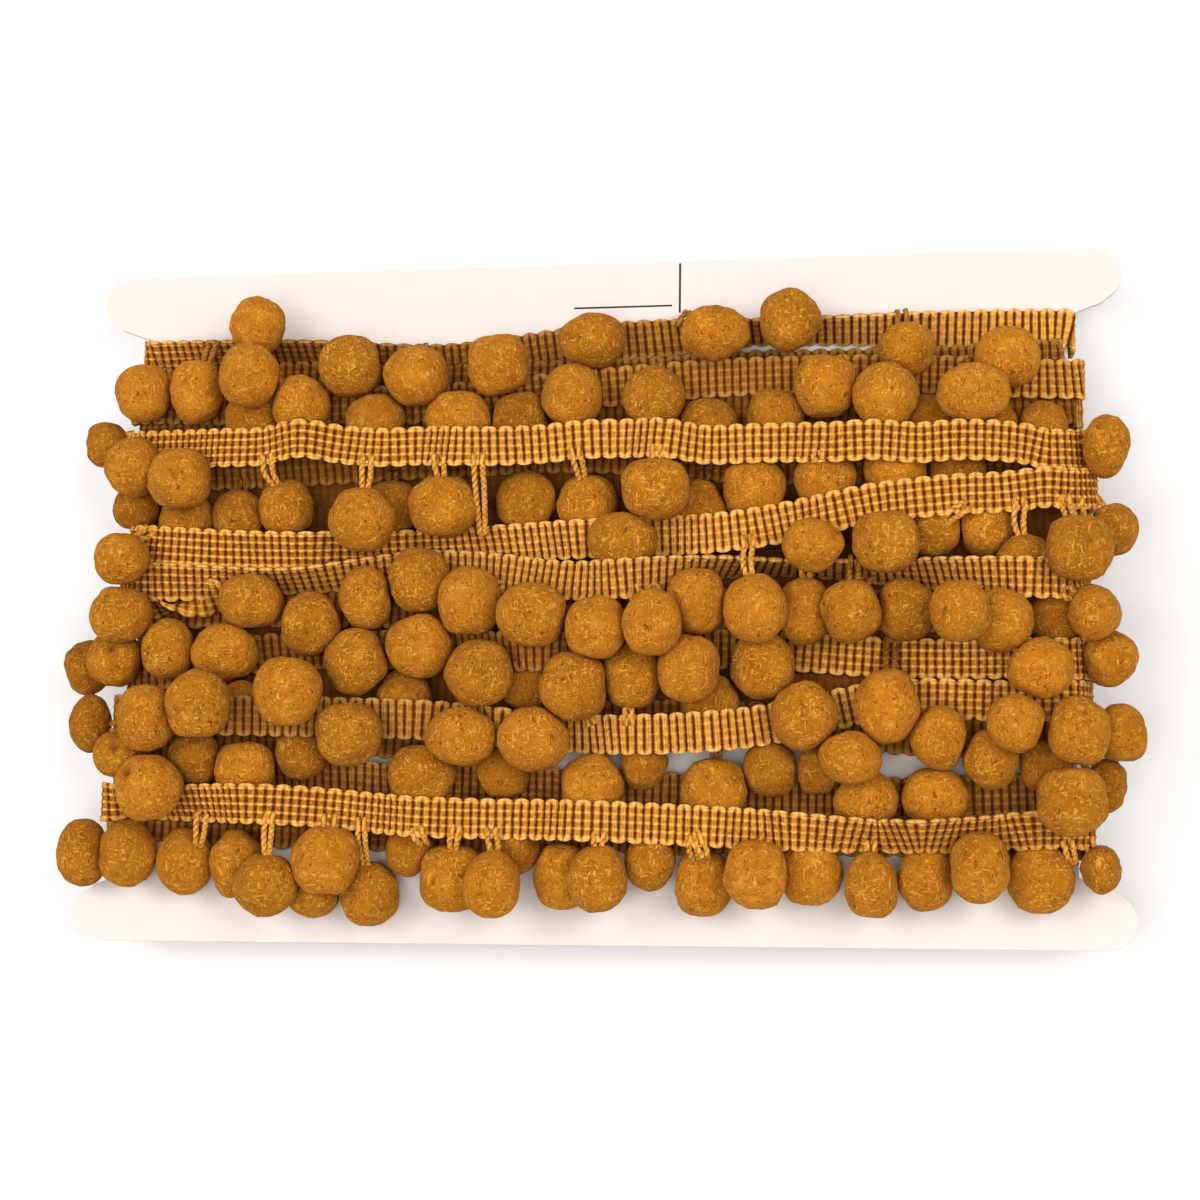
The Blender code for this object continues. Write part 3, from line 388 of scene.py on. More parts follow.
def through(xs, ys, x):
    """Values at x of the smooth curve through the stations."""
    xs, ys, x = (np.asarray(v, float) for v in (xs, ys, x))
    slope = np.gradient(ys, xs)
    i = np.clip(np.searchsorted(xs, x) - 1, 0, len(xs) - 2)
    span = xs[i + 1] - xs[i]
    t = np.clip((x - xs[i]) / span, 0, 1)
    return (
        (2 * t**3 - 3 * t**2 + 1) * ys[i]
        + (t**3 - 2 * t**2 + t) * span * slope[i]
        + (-2 * t**3 + 3 * t**2) * ys[i + 1]
        + (t**3 - t**2) * span * slope[i + 1]
    )


def toward_eye(x, y, h):
    """Moves a point set out at READ_H along its own line to EYE, to height h."""
    k = (EYE[2] - h) / (EYE[2] - READ_H)
    return EYE[0] + (x - EYE[0]) * k, EYE[1] + (y - EYE[1]) * k


def core_top(x, y, grow=0.0):
    """Height of the inner turns over the card's face, with their outline grown by so much."""
    along = (abs(x) - grow - CORE_STRAIGHT_X) / (CORE_END_X - CORE_STRAIGHT_X)
    across = (abs(y - CORE_MID_Y) - grow - CORE_HALF_Y + CORE_SLOPE) / CORE_SLOPE
    if along >= 1 or across >= 1:
        return 0.0
    return REST_GAP + CORE_H * sqrt(1 - max(along, 0) ** 2) * sqrt(1 - max(across, 0) ** 2)


class Pile:
    """What already lies on the card, as ellipsoids: centre, semi-axes and course of each."""

    def __init__(self):
        """Starts with nothing on the card."""
        self.centre = np.zeros((0, 3))
        self.semi = np.zeros((0, 3))
        self.course = np.zeros(0, int)

    def add(self, centres, semi, course):
        """Adds one ellipsoid, or several alike."""
        centres = np.atleast_2d(centres)
        self.centre = np.vstack([self.centre, centres])
        self.semi = np.vstack([self.semi, np.broadcast_to(semi, centres.shape)])
        self.course = np.append(self.course, [course] * len(centres))

    def lowest(self, x, y, semi):
        """Lowest free centre height at x, y for an ellipsoid that rests on everything below it."""
        floor = semi[2] + REST_GAP + core_top(x, y, CORE_CLEAR)
        reach = self.semi + semi + GAP
        r = ((x - self.centre[:, 0]) / reach[:, 0]) ** 2 + ((y - self.centre[:, 1]) / reach[:, 1]) ** 2
        near = r < 1
        if not near.any():
            return floor
        return max(floor, (self.centre[near, 2] + reach[near, 2] * np.sqrt(1 - r[near])).max())

    def nearest_beside(self, side, y, h, semi):
        """Least |x| at which an ellipsoid at y, h is free, coming in from the side."""
        reach = self.semi + semi + GAP
        r = ((y - self.centre[:, 1]) / reach[:, 1]) ** 2 + ((h - self.centre[:, 2]) / reach[:, 2]) ** 2
        near = r < 1
        outer = side * self.centre[near, 0] + reach[near, 0] * np.sqrt(1 - r[near])
        return max(outer.max(), WAIST_X + semi[0] + SIDE_CLEAR)


def braid_knots(step):
    """Where a braid may bend: close together by the card's edges, evenly spaced between."""
    inner = np.linspace(-CORE_STRAIGHT_X, CORE_STRAIGHT_X, round(2 * CORE_STRAIGHT_X / step) + 1)
    return np.concatenate([[-x for x in EDGE_KNOTS[::-1]], inner, EDGE_KNOTS])


def lay_braid(pile, y_row, roll_row, knots, follow_eye):
    """A braid drawn tight over the pile: straight between knots, no lower than anything under it."""
    y_set = through(STATION_X, y_row, knots)
    roll = np.radians(through(STATION_X, roll_row, knots))
    xs = np.arange(-END_X, END_X + 0.1, FINE_STEP)
    fine_roll = np.interp(xs, knots, roll)
    bead = np.array([BRAID_T / 2] * 3)
    half = BRAID_W / 2 * BRAID_EDGE
    h = np.full(len(knots), FIRST_BRAID_H)
    for _ in range(BRAID_ROUNDS if follow_eye else 1):
        y = toward_eye(knots, y_set, h)[1] if follow_eye else y_set
        fine_y = np.interp(xs, knots, y)
        need = np.array([
            max(
                pile.lowest(x, yy + s * half * cos(r), bead) - s * half * sin(r)
                for s in BRAID_PROBES
            )
            for x, yy, r in zip(xs, fine_y, fine_roll)
        ])
        h = np.interp(knots, xs, need)
        steep = BRAID_SLOPE * np.abs(knots[:, None] - knots[None, :])
        for _ in range(RAISE_ROUNDS):
            h = (h[None, :] - steep).max(axis=1)
            short = need - np.interp(xs, knots, h)
            left = np.clip(np.searchsorted(knots, xs, side="right") - 1, 0, len(knots) - 2)
            lift = np.zeros(len(knots))
            np.maximum.at(lift, left, short)
            np.maximum.at(lift, left + 1, short)
            h = h + np.maximum(lift, 0)
    return np.stack([knots, y, h, roll], 1)


def dense_path(path):
    """The path's rows with more between them, about BEAD_STEP apart."""
    rows = []
    for a, b in zip(path, path[1:]):
        count = max(1, round(np.hypot(b[0] - a[0], b[2] - a[2]) / BEAD_STEP))
        rows += [a + (b - a) * t / count for t in range(count)]
    return np.array(rows + [path[-1]])


def add_braid(pile, path, course):
    """Adds a braid to the pile as rows of beads."""
    dense = dense_path(path)
    for s in np.linspace(-1, 1, BRAID_BEADS):
        k = s * BRAID_W / 2 * BRAID_EDGE
        across, up = k * np.cos(dense[:, 3]), k * np.sin(dense[:, 3])
        beads = np.stack([dense[:, 0], dense[:, 1] + across, dense[:, 2] + up], 1)
        pile.add(beads, [BRAID_T / 2] * 3, course)


def at_edge(y):
    """A y set out at READ_H, moved to where the trim passes round the card's edge, clear of the flange."""
    return min(toward_eye(0.0, y, EDGE_H)[1], WAIST_Y - BRAID_W / 2 - REST_GAP)


def fold_offsets(rows):
    """Each fold's y and how far it stands out from the card's edge: a later fold wraps earlier ones.

    rows are the order, the y at the left edge and the y at the right edge of each course.
    """
    offsets = {}
    for side, column in ((-1, 1), (1, 2)):
        placed = []
        for index in sorted(range(len(rows)), key=lambda k: rows[k][0]):
            y = rows[index][column]
            out = REST_GAP + BRAID_T / 2
            for other_y, other_out in placed:
                if abs(y - other_y) < BRAID_W + GAP:
                    out = max(out, other_out + BRAID_T + GAP)
            placed.append((y, out))
            offsets[index, side] = (y, out)
    return offsets


def with_folds(laid, folds, course):
    """A braid's whole path, from the fold round one edge of the card to the fold round the other."""
    path = laid
    for side, j in ((-1, 0), (1, -1)):
        fold_y, out = folds[course, side]
        x_fold = side * (WAIST_X + out)
        corner_h = max(laid[j, 2] * FOLD_DIP, out + REST_GAP)
        corner = (x_fold, (laid[j, 1] + fold_y) / 2, corner_h, 0.0)
        end = (x_fold, fold_y, FOLD_END_H, 0.0)
        path = np.vstack([end, corner, path]) if side < 0 else np.vstack([path, corner, end])
    return path


def rest_pompom(pile, x_set, y_set, semi):
    """Drops a pompom on the pile, slipping aside a little where that lets it lie lower."""
    best = None
    for slip, count in SLIPS:
        for j in range(count):
            turn = 2 * pi * j / count
            h = FIRST_POM_H
            for _ in range(REST_ROUNDS):
                x, y = toward_eye(x_set + slip * cos(turn), y_set + slip * sin(turn), h)
                h = REST_EASE * h + REST_TAKE * pile.lowest(x, y, semi)
            h = pile.lowest(x, y, semi)
            cost = h + SLIP_COST * slip
            if best is None or cost < best[0]:
                best = (cost, x, y, h)
    return best[1:]


def settle_front():
    """The front's braid paths by course, and its pompoms as (course, centre, semi-axes, root)."""
    pile = Pile()
    folds = fold_offsets([(row[1], at_edge(row[2][0]), at_edge(row[2][-1])) for row in FRONT])
    knots = braid_knots(FRONT_KNOT_STEP)
    waiting = [(row[1], 0, k, None) for k, row in enumerate(FRONT)]
    for k, row in enumerate(FRONT):
        waiting += [(pom[4], 1, k, pom) for pom in POMPOMS[row[0]]]
    waiting.sort(key=lambda item: item[:3])
    paths, placed = {}, []
    for order, is_pompom, k, pom in waiting:
        if is_pompom:
            depth = DEEP_DEPTH if order < DEEP_ORDER else FRONT_DEPTH
            semi = np.array([pom[2] * SOFT, pom[3] * SOFT, depth])
            x, y, h = rest_pompom(pile, pom[0], pom[1], semi)
            pile.add((x, y, h), semi, k)
            placed.append((k, np.array([x, y, h]), semi))
        else:
            laid = lay_braid(pile, FRONT[k][2], FRONT[k][3], knots, True)
            paths[k] = with_folds(laid, folds, k)
            add_braid(pile, paths[k], k)
    names = [row[0] for row in FRONT]
    for name, side, y, width, height, h in SIDE_POMPOMS:
        k = names.index(name)
        semi = np.array([width * SOFT, height * SOFT, SIDE_DEPTH])
        x = side * pile.nearest_beside(side, y, h, semi)
        pile.add((x, y, h), semi, k)
        placed.append((k, np.array([x, y, h]), semi))
    pompoms = []
    for k, centre, semi in placed:
        _, root = loop_route(pile, k, paths[k], centre, semi)
        pompoms.append((k, centre, semi, root))
    return paths, pompoms


def back_rows():
    """Centre y of each back braid by station: evenly spaced, joining the front's ends at the edges."""
    rows = []
    for k in range(len(FRONT) - 1):
        left, right = at_edge(FRONT[k + 1][2][0]), at_edge(FRONT[k][2][-1])
        middle = BACK_TOP_Y - BACK_PITCH_Y * k
        ends = (left, left, left, middle, right, right, right)
        rows.append(("", k, [end + (middle - end) * share for end, share in zip(ends, BACK_SHARES)]))
    return rows


def settle_back():
    """The same for the back, where the table presses every pompom to one level."""
    rng = np.random.default_rng(SEED)
    pile = Pile()
    rows = back_rows()
    folds = fold_offsets([(k, y_row[0], y_row[-1]) for _, k, y_row in rows])
    knots = braid_knots(BACK_KNOT_STEP)
    level = [0.0] * len(STATION_X)
    paths, pompoms = {}, []
    for _, k, y_row in rows:
        laid = lay_braid(pile, y_row, level, knots, False)
        paths[k] = with_folds(laid, folds, k)
        add_braid(pile, paths[k], k)
    for _, k, y_row in rows:
        start = BACK_POM_START + (k % 2) * BACK_POM_PITCH / 2
        for x_set in np.arange(start, -BACK_POM_START + 1.0, BACK_POM_PITCH):
            jitter = rng.uniform(-BACK_JITTER, BACK_JITTER, 2)
            for shift in BACK_SHIFTS:
                x = x_set + jitter[0] + shift
                y = through(STATION_X, y_row, x) - BACK_POM_DROP + jitter[1]
                semi = np.array([BACK_POM_SIZE * SOFT, BACK_POM_SIZE * SOFT, DEEP_DEPTH])
                under = pile.lowest(x, y, semi) - semi[2]
                semi[2] = (BACK_DEPTH - under) / (1 + FLAT_AT)
                centre = np.array([x, y, under + semi[2]])
                room, root = loop_route(pile, k, paths[k], centre, semi)
                if room >= 1 and semi[2] >= BACK_LEAST_DEPTH:
                    pile.add(centre, semi, k)
                    pile.add(np.linspace(root, centre, LOOP_BEADS), [LOOP_R] * 3, k)
                    pompoms.append((k, centre, semi, root))
                    break
    return paths, pompoms


def loop_route(pile, course, path, centre, semi):
    """Room round, and root of, the straight loop to a pompom that best clears the other courses."""
    others = (pile.course != course) & (np.abs(pile.centre - centre).max(axis=1) < LOOP_REACH)
    near, reach = pile.centre[others], pile.semi[others] + LOOP_CLEAR
    steps = np.linspace(0, 1, ROUTE_BEADS)[:, None]
    dense = dense_path(path[1:-1])
    roots = dense[np.abs(dense[:, 0] - centre[0]) < LOOP_SPREAD]
    best = None
    for side in (-1, 1):
        for root_x, root_y, root_h, roll in roots:
            k = side * (BRAID_W / 2 - LOOP_SEAT)
            root = np.array([root_x, root_y + k * cos(roll), root_h + k * sin(roll)])
            away = root - centre
            length = np.linalg.norm(away)
            end = centre + away / np.linalg.norm(away / semi)
            line = root + (end - root) * steps
            room = np.inf
            if len(near):
                room = np.sqrt((((line[:, None] - near) / reach) ** 2).sum(axis=2)).min()
            cost = TIGHT_COST * max(0.0, 1.0 - room) + length
            if best is None or cost < best[0]:
                best = (cost, room, root)
    return best[1:]


# ---- shared meshes

def linked(name, data):
    """An object in the scene that shows the data."""
    obj = bpy.data.objects.new(name, data)
    bpy.context.scene.collection.objects.link(obj)
    return obj


def mesh_object(name, points, faces, face, material, **values):
    """A smooth object over one face of the card, from points in millimetres and faces.

    The values, one at each point, are what its material reads.
    """
    mesh = bpy.data.meshes.new(name)
    turned = [list(f)[::face] for f in faces]
    mesh.from_pydata((over_face(points, face) * MM).tolist(), [], turned)
    mesh.polygons.foreach_set("use_smooth", [True] * len(mesh.polygons))
    mesh.materials.append(material)
    for key, value in values.items():
        attribute = mesh.attributes.new(key, "FLOAT", "POINT")
        attribute.data.foreach_set("value", np.asarray(value, np.float32))
    return linked(name, mesh)


def settle_in(obj, node):
    """Puts the piece in the place of its solid."""
    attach(obj, "root")
    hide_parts(node)


def unit(rows):
    """Each row's direction, one long."""
    return rows / np.linalg.norm(rows, axis=1)[:, None]


def run_along(line):
    """How far along the line each of its points lies."""
    return np.concatenate([[0], np.cumsum(np.linalg.norm(np.diff(line, axis=0), axis=1))])


def tube_faces(rows, columns, first=0):
    """Faces round a tube of rings, without its ends, from the point numbered first."""
    i, j = np.meshgrid(np.arange(rows - 1), np.arange(columns), indexing="ij")
    a = i * columns + j
    b = i * columns + (j + 1) % columns
    return (np.stack([a, b, b + columns, a + columns], -1).reshape(-1, 4) + first).tolist()


def over_face(points, face):
    """Points over the front face (1) or the back face (-1) of the card, in the part's own frame."""
    placed = np.array(points, float)
    if face > 0:
        placed[..., 2] += BACK_DEPTH + CARD_T
    else:
        placed[..., 2] = np.maximum(BACK_DEPTH - placed[..., 2], 0.0)
    return placed


def ripples(points, length, seed):
    """A smooth random value at each point, mostly from -1 to 1, varying over about that length."""
    rng = np.random.default_rng(seed)
    waves = rng.normal(size=(RIPPLE_WAVES, 3))
    waves *= 2 * pi / length / np.linalg.norm(waves, axis=1)[:, None]
    phase = rng.uniform(0, 2 * pi, RIPPLE_WAVES)
    return np.sin(points @ waves.T + phase).sum(axis=-1) / RIPPLE_WAVES * RIPPLE_GAIN


# ---- braid

def smooth_path(path, step):
    """The path's line and roll, eased through its rows, with a row every step along it."""
    chord = run_along(path[:, :3])
    fine = np.linspace(0, chord[-1], int(chord[-1] / PATH_STEP) + 1)
    rows = np.stack([through(chord, path[:, c], fine) for c in range(4)], 1)
    run = run_along(rows[:, :3])
    at = np.linspace(0, run[-1], max(2, int(run[-1] / step) + 1))
    return at, np.stack([np.interp(at, run, rows[:, c]) for c in range(4)], 1)


def braid_frame(rows):
    """Unit vectors across and out of the braid at each row."""
    along = unit(np.gradient(rows[:, :3], axis=0))
    across = np.stack([np.zeros(len(rows)), np.cos(rows[:, 3]), np.sin(rows[:, 3])], 1)
    across = unit(across - along * (along * across).sum(1)[:, None])
    return across, np.cross(along, across)


def weave(u, v, grid):
    """How far the yarn stands out of its grooves (0 to 1), u along the braid and v across it.

    grid is 1 where lengthwise threads lie over the cross ribs, and 0 where only the ribs show.
    """
    turn = pi * u / PAIR_PITCH
    split = np.clip(1 - (np.cos(turn) / SPLIT_HALF) ** 2, 0, 1)
    rib = np.abs(np.sin(turn)) * (1 - SPLIT_DEPTH * split)
    row = v / THREAD_PITCH
    nearest = np.round(row)
    thread = np.clip(1 - ((row - nearest) * THREAD_PITCH / THREAD_HALF) ** 2, 0, 1) ** 0.5
    thread = thread * (THREAD_MEAN - THREAD_SWING * np.cos(2 * turn)) * (np.abs(nearest) <= THREAD_ROWS)
    gridded = np.maximum(GRID_RIB * rib, thread)
    plain = rib * (PLAIN_MEAN + PLAIN_SWING * np.cos(2 * pi * row))
    return grid * gridded + (1 - grid) * plain


def braid_columns(fine):
    """Places of the columns across the top of the braid: in fine ones, by each thread and between them."""
    if not fine:
        return np.array(COARSE_COLUMNS)
    rows = range(-THREAD_ROWS, THREAD_ROWS + 1)
    inner = [r * THREAD_PITCH + s for r in rows for s in (-THREAD_HALF, 0, THREAD_HALF)]
    return np.sort(np.array(inner + [(r + 0.5) * THREAD_PITCH for r in rows[:-1]]))


def braid_points(rows, run, grid, seed, fine):
    """Rings of points round the woven braid, with each point's place along and across and its crest, which
    also sets painted shade and painted highlights.
    """
    rng = np.random.default_rng(seed)
    across, out = braid_frame(rows)
    u = (run + sum(size * np.sin(run / length + rng.uniform(*PHASES)) for size, length in WARPS))[:, None]
    inner = braid_columns(fine)
    top = np.concatenate([-EDGE_COLUMNS[::-1], inner, EDGE_COLUMNS])
    low = np.linspace(UNDER_HALF, -UNDER_HALF, UNDER_COLUMNS)
    v_rest = np.concatenate([top, low])[None, :]
    under_ride = EDGE_RIDES[0] * np.sign(low) * (np.abs(low) > UNDER_RIDE_FROM)
    ride = np.concatenate([-EDGE_RIDES[::-1], np.zeros(len(inner)), EDGE_RIDES, under_ride])[None, :]
    is_top = np.concatenate([np.ones(len(top)), np.zeros(len(low))])[None, :]
    scallop = np.abs(np.sin(pi * u / (2 * PAIR_PITCH))) ** SCALLOP_POWER - SCALLOP_MEAN
    v = v_rest + SCALLOP * scallop * ride
    off_edge = np.abs(v_rest)
    bead = np.exp(-(((off_edge - BEAD_V) / BEAD_HALF) ** 2)) * np.clip(BEAD_LEVEL + scallop, 0, 1)
    relief = np.maximum(weave(u, v, grid[:, None]) * (off_edge < WOVEN_HALF), bead)
    shoulder = np.where(off_edge > BEAD_V, SHOULDER, 1.0)
    height = is_top * (GROUND_H + RELIEF * relief) * shoulder - (1 - is_top) * UNDER_H
    height = height + FUZZ_H * ripples(np.stack([u + 0 * v, v, 0 * v], -1), FUZZ_LENGTH, seed) * is_top
    points = rows[:, None, :3] + across[:, None] * v[..., None] + out[:, None] * height[..., None]
    return points, u + 0 * v, v, relief + BEAD_HIGHLIGHT * bead * is_top


def make_braid(name, path, face, grid_at, shade_at, seed, step, fine, material):
    """One course's braid, closed at its ends, which shows threads and painted shade by place along the card.
    """
    run, rows = smooth_path(path, step)
    # Painted shade by place along the card
    shade = through(GRID_X, shade_at, rows[:, 0])
    grid = np.clip(through(GRID_X, grid_at, rows[:, 0]), 0, 1)
    points, along, across, crest = braid_points(rows, run, grid, seed, fine)
    count, width = crest.shape
    last = count * width
    ring = np.arange(width)
    nxt = (ring + 1) % width
    far = (count - 1) * width
    faces = tube_faces(count, width)
    faces += np.stack([nxt, ring, np.full(width, last)], 1).tolist()
    faces += np.stack([ring + far, nxt + far, np.full(width, last + 1)], 1).tolist()
    points = np.vstack([points.reshape(-1, 3), points[0].mean(0), points[-1].mean(0)])
    return mesh_object(
        name, points, faces, face, material, along=np.append(along, [0, 0]), across=np.append(across, [0, 0]),
        crest=np.append(crest, [END_CREST] * 2), threads=np.append(np.repeat(grid, width), [0, 0]),
        shade=np.append(np.repeat(shade, width), shade[[0, -1]]),
    )


# ---- pompoms

def ball_directions(fineness):
    """Directions of the points of a ball, and its faces."""
    bm = bmesh.new()
    bmesh.ops.create_icosphere(bm, subdivisions=fineness, radius=1.0)
    bm.verts.ensure_lookup_table()
    points = np.array([v.co for v in bm.verts])
    faces = np.array([[v.index for v in f.verts] for f in bm.faces])
    bm.free()
    return unit(points), faces


def pressed(radius, directions, way, limit):
    """Radii of a ball pressed softly flat by a wall that faces it that way, that far from its centre."""
    facing = directions @ way
    wall = np.where(facing > LEAST_FACING, limit / np.maximum(facing, LEAST_FACING), NO_WALL)
    return -PRESS_SOFT * np.logaddexp(-radius / PRESS_SOFT, -wall / PRESS_SOFT)


def pressed_ball(index, centres, semis, directions, face, rng):
    """A pompom's points round its centre: a full ball, pressed flat a little by those that touch it."""
    centre, semi = centres[index], semis[index]
    power = rng.uniform(*POWER_RANGE)
    radius = ((np.abs(directions) / semi) ** power).sum(1) ** (-1 / power)
    away = centres - centre
    distance = np.linalg.norm(away, axis=1)
    near = (distance > 0) & (distance < (semi.max() + semis.max(axis=1)) * PRESS_REACH)
    for j in np.flatnonzero(near):
        toward = away[j] / distance[j]
        own, other = (1 / np.linalg.norm(toward / each) for each in (semi, semis[j]))
        radius = pressed(radius, directions, toward, (distance[j] + own - other) / 2 - PRESS_GAP)
    if face < 0:
        radius = pressed(radius, directions, np.array([0.0, 0.0, 1.0]), BACK_DEPTH - TABLE_CLEAR - centre[2])
    return directions * radius[:, None]


def near_way(turned, way, width):
    """How near each direction lies to a way: 1 on it, fading over about that many radians."""
    return np.exp(-((np.arccos(np.clip(turned @ way, -1, 1)) / width) ** 2))


def make_pompoms(name, course, pompoms, face, fineness, seed, material):
    """The pompoms of one course, each a ball of felt with its own slight lumps and tilt, and painted shade on
    its lower part, on deep pompoms and in its holes.
    """
    rng = np.random.default_rng(seed)
    centres = np.array([p[1] for p in pompoms])
    semis = np.array([p[2] for p in pompoms]) * POM_GROW + POM_PROUD
    directions, ball = ball_directions(fineness)
    points, faces, tones, shades = [], [], [], []
    for index, (k, centre, semi, root) in enumerate(pompoms):
        if k != course:
            continue
        turn = Matrix.Rotation(rng.uniform(0, 2 * pi), 3, "Z") @ Matrix.Rotation(rng.uniform(*TILTS), 3, "X")
        turned = directions @ np.array(turn).T
        at = pressed_ball(index, centres, semis, turned, face, rng)
        start = seed * POM_SEEDS + index
        lumps = sum(deep * ripples(at, wide, start + LUMP_SEEDS * n) for n, (wide, deep) in enumerate(LUMPS))
        at = at + turned * lumps[:, None]
        pull = np.array(root) - centre
        pull /= np.linalg.norm(pull)
        at = at - turned * (DENT_DEPTH * near_way(turned, pull, DENT_WIDTH))[:, None]
        # Painted shade: darker on the lower part of front pompoms, and on deep pompoms
        depth = np.clip((LOWER_SHADE_FROM - turned[:, 2]) / LOWER_SHADE_SPAN, 0, 1) * (face > 0)
        shade = (DEEP_PAINTED_SHADE if semi[2] < FRONT_DEPTH else 1.0) * (1 - LOWER_SHADE_MOST * depth)
        for x, y, way in DIMPLES if face > 0 else ():
            if np.hypot(*(np.array(toward_eye(x, y, centre[2])) - centre[:2])) < PIT_REACH:
                pit = near_way(turned, way, PIT_WIDTH)
                at = at - turned * (PIT_DEPTH * pit)[:, None]
                # Painted shade in the hole
                shade = shade * (1 - pit)
        faces.append(ball + len(directions) * len(points))
        points.append(at + centre)
        tones.append(np.full(len(at), rng.uniform(0, 1)))
        shades.append(shade)
    return mesh_object(
        name, np.vstack(points), np.vstack(faces).tolist(), face, material,
        tone=np.concatenate(tones), shade=np.concatenate(shades),
    )


# ---- loops

def cord_points(line, side, seed):
    """A two-ply cord along the line: rings of a two-lobed section that turns as it goes."""
    run = run_along(line)
    along = unit(np.gradient(line, axis=0))
    a = np.cross(along, [0.0, 0.0, 1.0])
    a /= np.maximum(np.linalg.norm(a, axis=1), 1e-6)[:, None]
    b = np.cross(along, a)
    angle = np.arange(CORD_SIDES) * 2 * pi / CORD_SIDES
    twist = side * 2 * pi * run / PLY_PITCH + seed
    lobes = np.sqrt(LOBE_LEAST + LOBE_SWING * np.cos(angle[None] - twist[:, None]) ** 2)
    radius = CORD_R * lobes
    ring = np.cos(angle)[None, :, None] * a[:, None] + np.sin(angle)[None, :, None] * b[:, None]
    return line[:, None] + ring * radius[..., None], lobes


def loop_lines(paths, course, pompoms, rng):
    """Middle lines of a course's loops: from the top of the braid, over its edge, to each pompom."""
    name = FRONT[course][0] if course < len(FRONT) else ""
    lines = []
    for k, centre, semi, root in pompoms:
        if k == course:
            root = np.array(root)
            pull = root - centre
            lines.append((root, centre + pull / np.linalg.norm(pull / semi) * CORD_SINK))
    path = paths[course]
    for loose, x, side, end_x, end_y, lift in LOOSE_LOOPS if pompoms is wound()[0][2] else ():
        if loose == name:
            y, h, roll = (np.interp(x, path[1:-1, 0], path[1:-1, c]) for c in (1, 2, 3))
            k = side * (BRAID_W / 2 - LOOP_SEAT)
            root = np.array([x, y + k * cos(roll), h + k * sin(roll)])
            lines.append((root, np.array([*toward_eye(end_x, end_y, h + lift), h + lift])))
    for root, end in lines:
        span = end - root
        flat = np.array([span[0], span[1], 0]) / max(np.hypot(span[0], span[1]), CORD_LEAST_SPAN)
        start = root - flat * CORD_START * rng.uniform(*START_RANGE) + np.array([0, 0, CORD_RISE])
        over = root + flat * CORD_REACH + np.array([0, 0, CORD_OVER])
        length = np.linalg.norm(end - over)
        side = np.cross(flat, [0.0, 0.0, 1.0])
        sway = side * rng.uniform(-CORD_SWAY, CORD_SWAY) + np.array([0, 0, CORD_BELLY])
        t = np.linspace(0, 1, max(CORD_LEAST_ROWS, int(length / CORD_STEP)))[:, None]
        hang = over + (end - over) * t + sway * np.sin(pi * t) * min(1.0, length / CORD_LOOSE_LENGTH)
        yield np.vstack([start, (start + over) / 2 + [0, 0, CORD_ARCH], hang]), side


def make_loops(name, course, paths, pompoms, face, shade, seed, material):
    """The loops of one course: two soft cords side by side from the braid's edge to each pompom, with painted
    highlights on the plies' crests and their course's painted shade.
    """
    rng = np.random.default_rng(seed)
    points, faces, crests = [], [], []
    first = 0
    for middle, side in loop_lines(paths, course, pompoms, rng):
        spread = rng.uniform(*SPREAD_RANGE) * CORD_SPREAD
        t = np.linspace(0, 1, len(middle))[:, None]
        for hand in (-1, 1):
            bulge = (1 - SPREAD_CLOSING * t) * (1 + SPREAD_BULGE * np.sin(pi * t))
            apart = side * hand * (0.5 * CORD_R + spread * 0.5 * bulge)
            rings, lobes = cord_points(middle + apart, hand, rng.uniform(*PHASES))
            points.append(rings.reshape(-1, 3))
            # Crests of the plies: painted highlights on them, painted shade between them
            crests.append(np.clip((lobes.ravel() - LOBE_SWING) * LOBE_CREST, 0, 1))
            faces += tube_faces(len(rings), CORD_SIDES, first)
            ends = np.arange(CORD_SIDES) + first
            faces += [ends[::-1].tolist(), (ends + (len(rings) - 1) * CORD_SIDES).tolist()]
            first += len(rings) * CORD_SIDES
    crests = np.concatenate(crests)
    return mesh_object(
        name, np.vstack(points), faces, face, material, crest=crests, shade=np.full(len(crests), shade)
    )


# ---- card and inner turns

def card_outline():
    """The card's outline: a round-ended flange above and below a narrower waist."""
    flange = [(WAIST_X, WAIST_Y), (NECK_X, NECK_Y)]
    for turn in np.radians(np.linspace(*END_TURNS, END_POINTS)):
        flange.append((CARD_W / 2 - END_R * (1 - cos(turn)), CARD_H / 2 - END_R * (1 - sin(turn))))
    top = flange + [(-x, y) for x, y in flange[::-1]]
    return top + [(-x, -y) for x, y in top]


def make_rules(material):
    """The thin rules printed on the card's upper flange."""
    points, faces = [], []
    for x, y, wide, high in RULES:
        first = len(points)
        for z in (0.0, INK_T):
            points += [(x, y, z), (x + wide, y, z), (x + wide, y + high, z), (x, y + high, z)]
        for face in ((3, 2, 1, 0), (4, 5, 6, 7), (0, 1, 5, 4), (1, 2, 6, 5), (2, 3, 7, 6), (3, 0, 4, 7)):
            faces.append([first + v for v in face])
    settle_in(mesh_object("printed_rules", points, faces, 1, material), "card")


def make_card_board(material):
    """The card: a flat board with softly rounded rims."""
    bm = bmesh.new()
    outline = [bm.verts.new((x * MM, y * MM, BACK_DEPTH * MM)) for x, y in card_outline()]
    lower = bm.faces.new(outline)
    grown = bmesh.ops.extrude_face_region(bm, geom=[lower])
    upper = [v for v in grown["geom"] if isinstance(v, bmesh.types.BMVert)]
    bmesh.ops.translate(bm, verts=upper, vec=(0, 0, CARD_T * MM))
    rim = [e for e in bm.edges if abs(e.verts[0].co.z - e.verts[1].co.z) < EVEN]
    bmesh.ops.bevel(
        bm, geom=rim, offset=RIM_ROUND * MM, segments=RIM_SEGMENTS, profile=RIM_PROFILE, affect="EDGES"
    )
    bmesh.ops.recalc_face_normals(bm, faces=bm.faces)
    mesh = bpy.data.meshes.new("card_board")
    bm.to_mesh(mesh)
    bm.free()
    mesh.materials.append(material)
    settle_in(linked("card_board", mesh), "card")


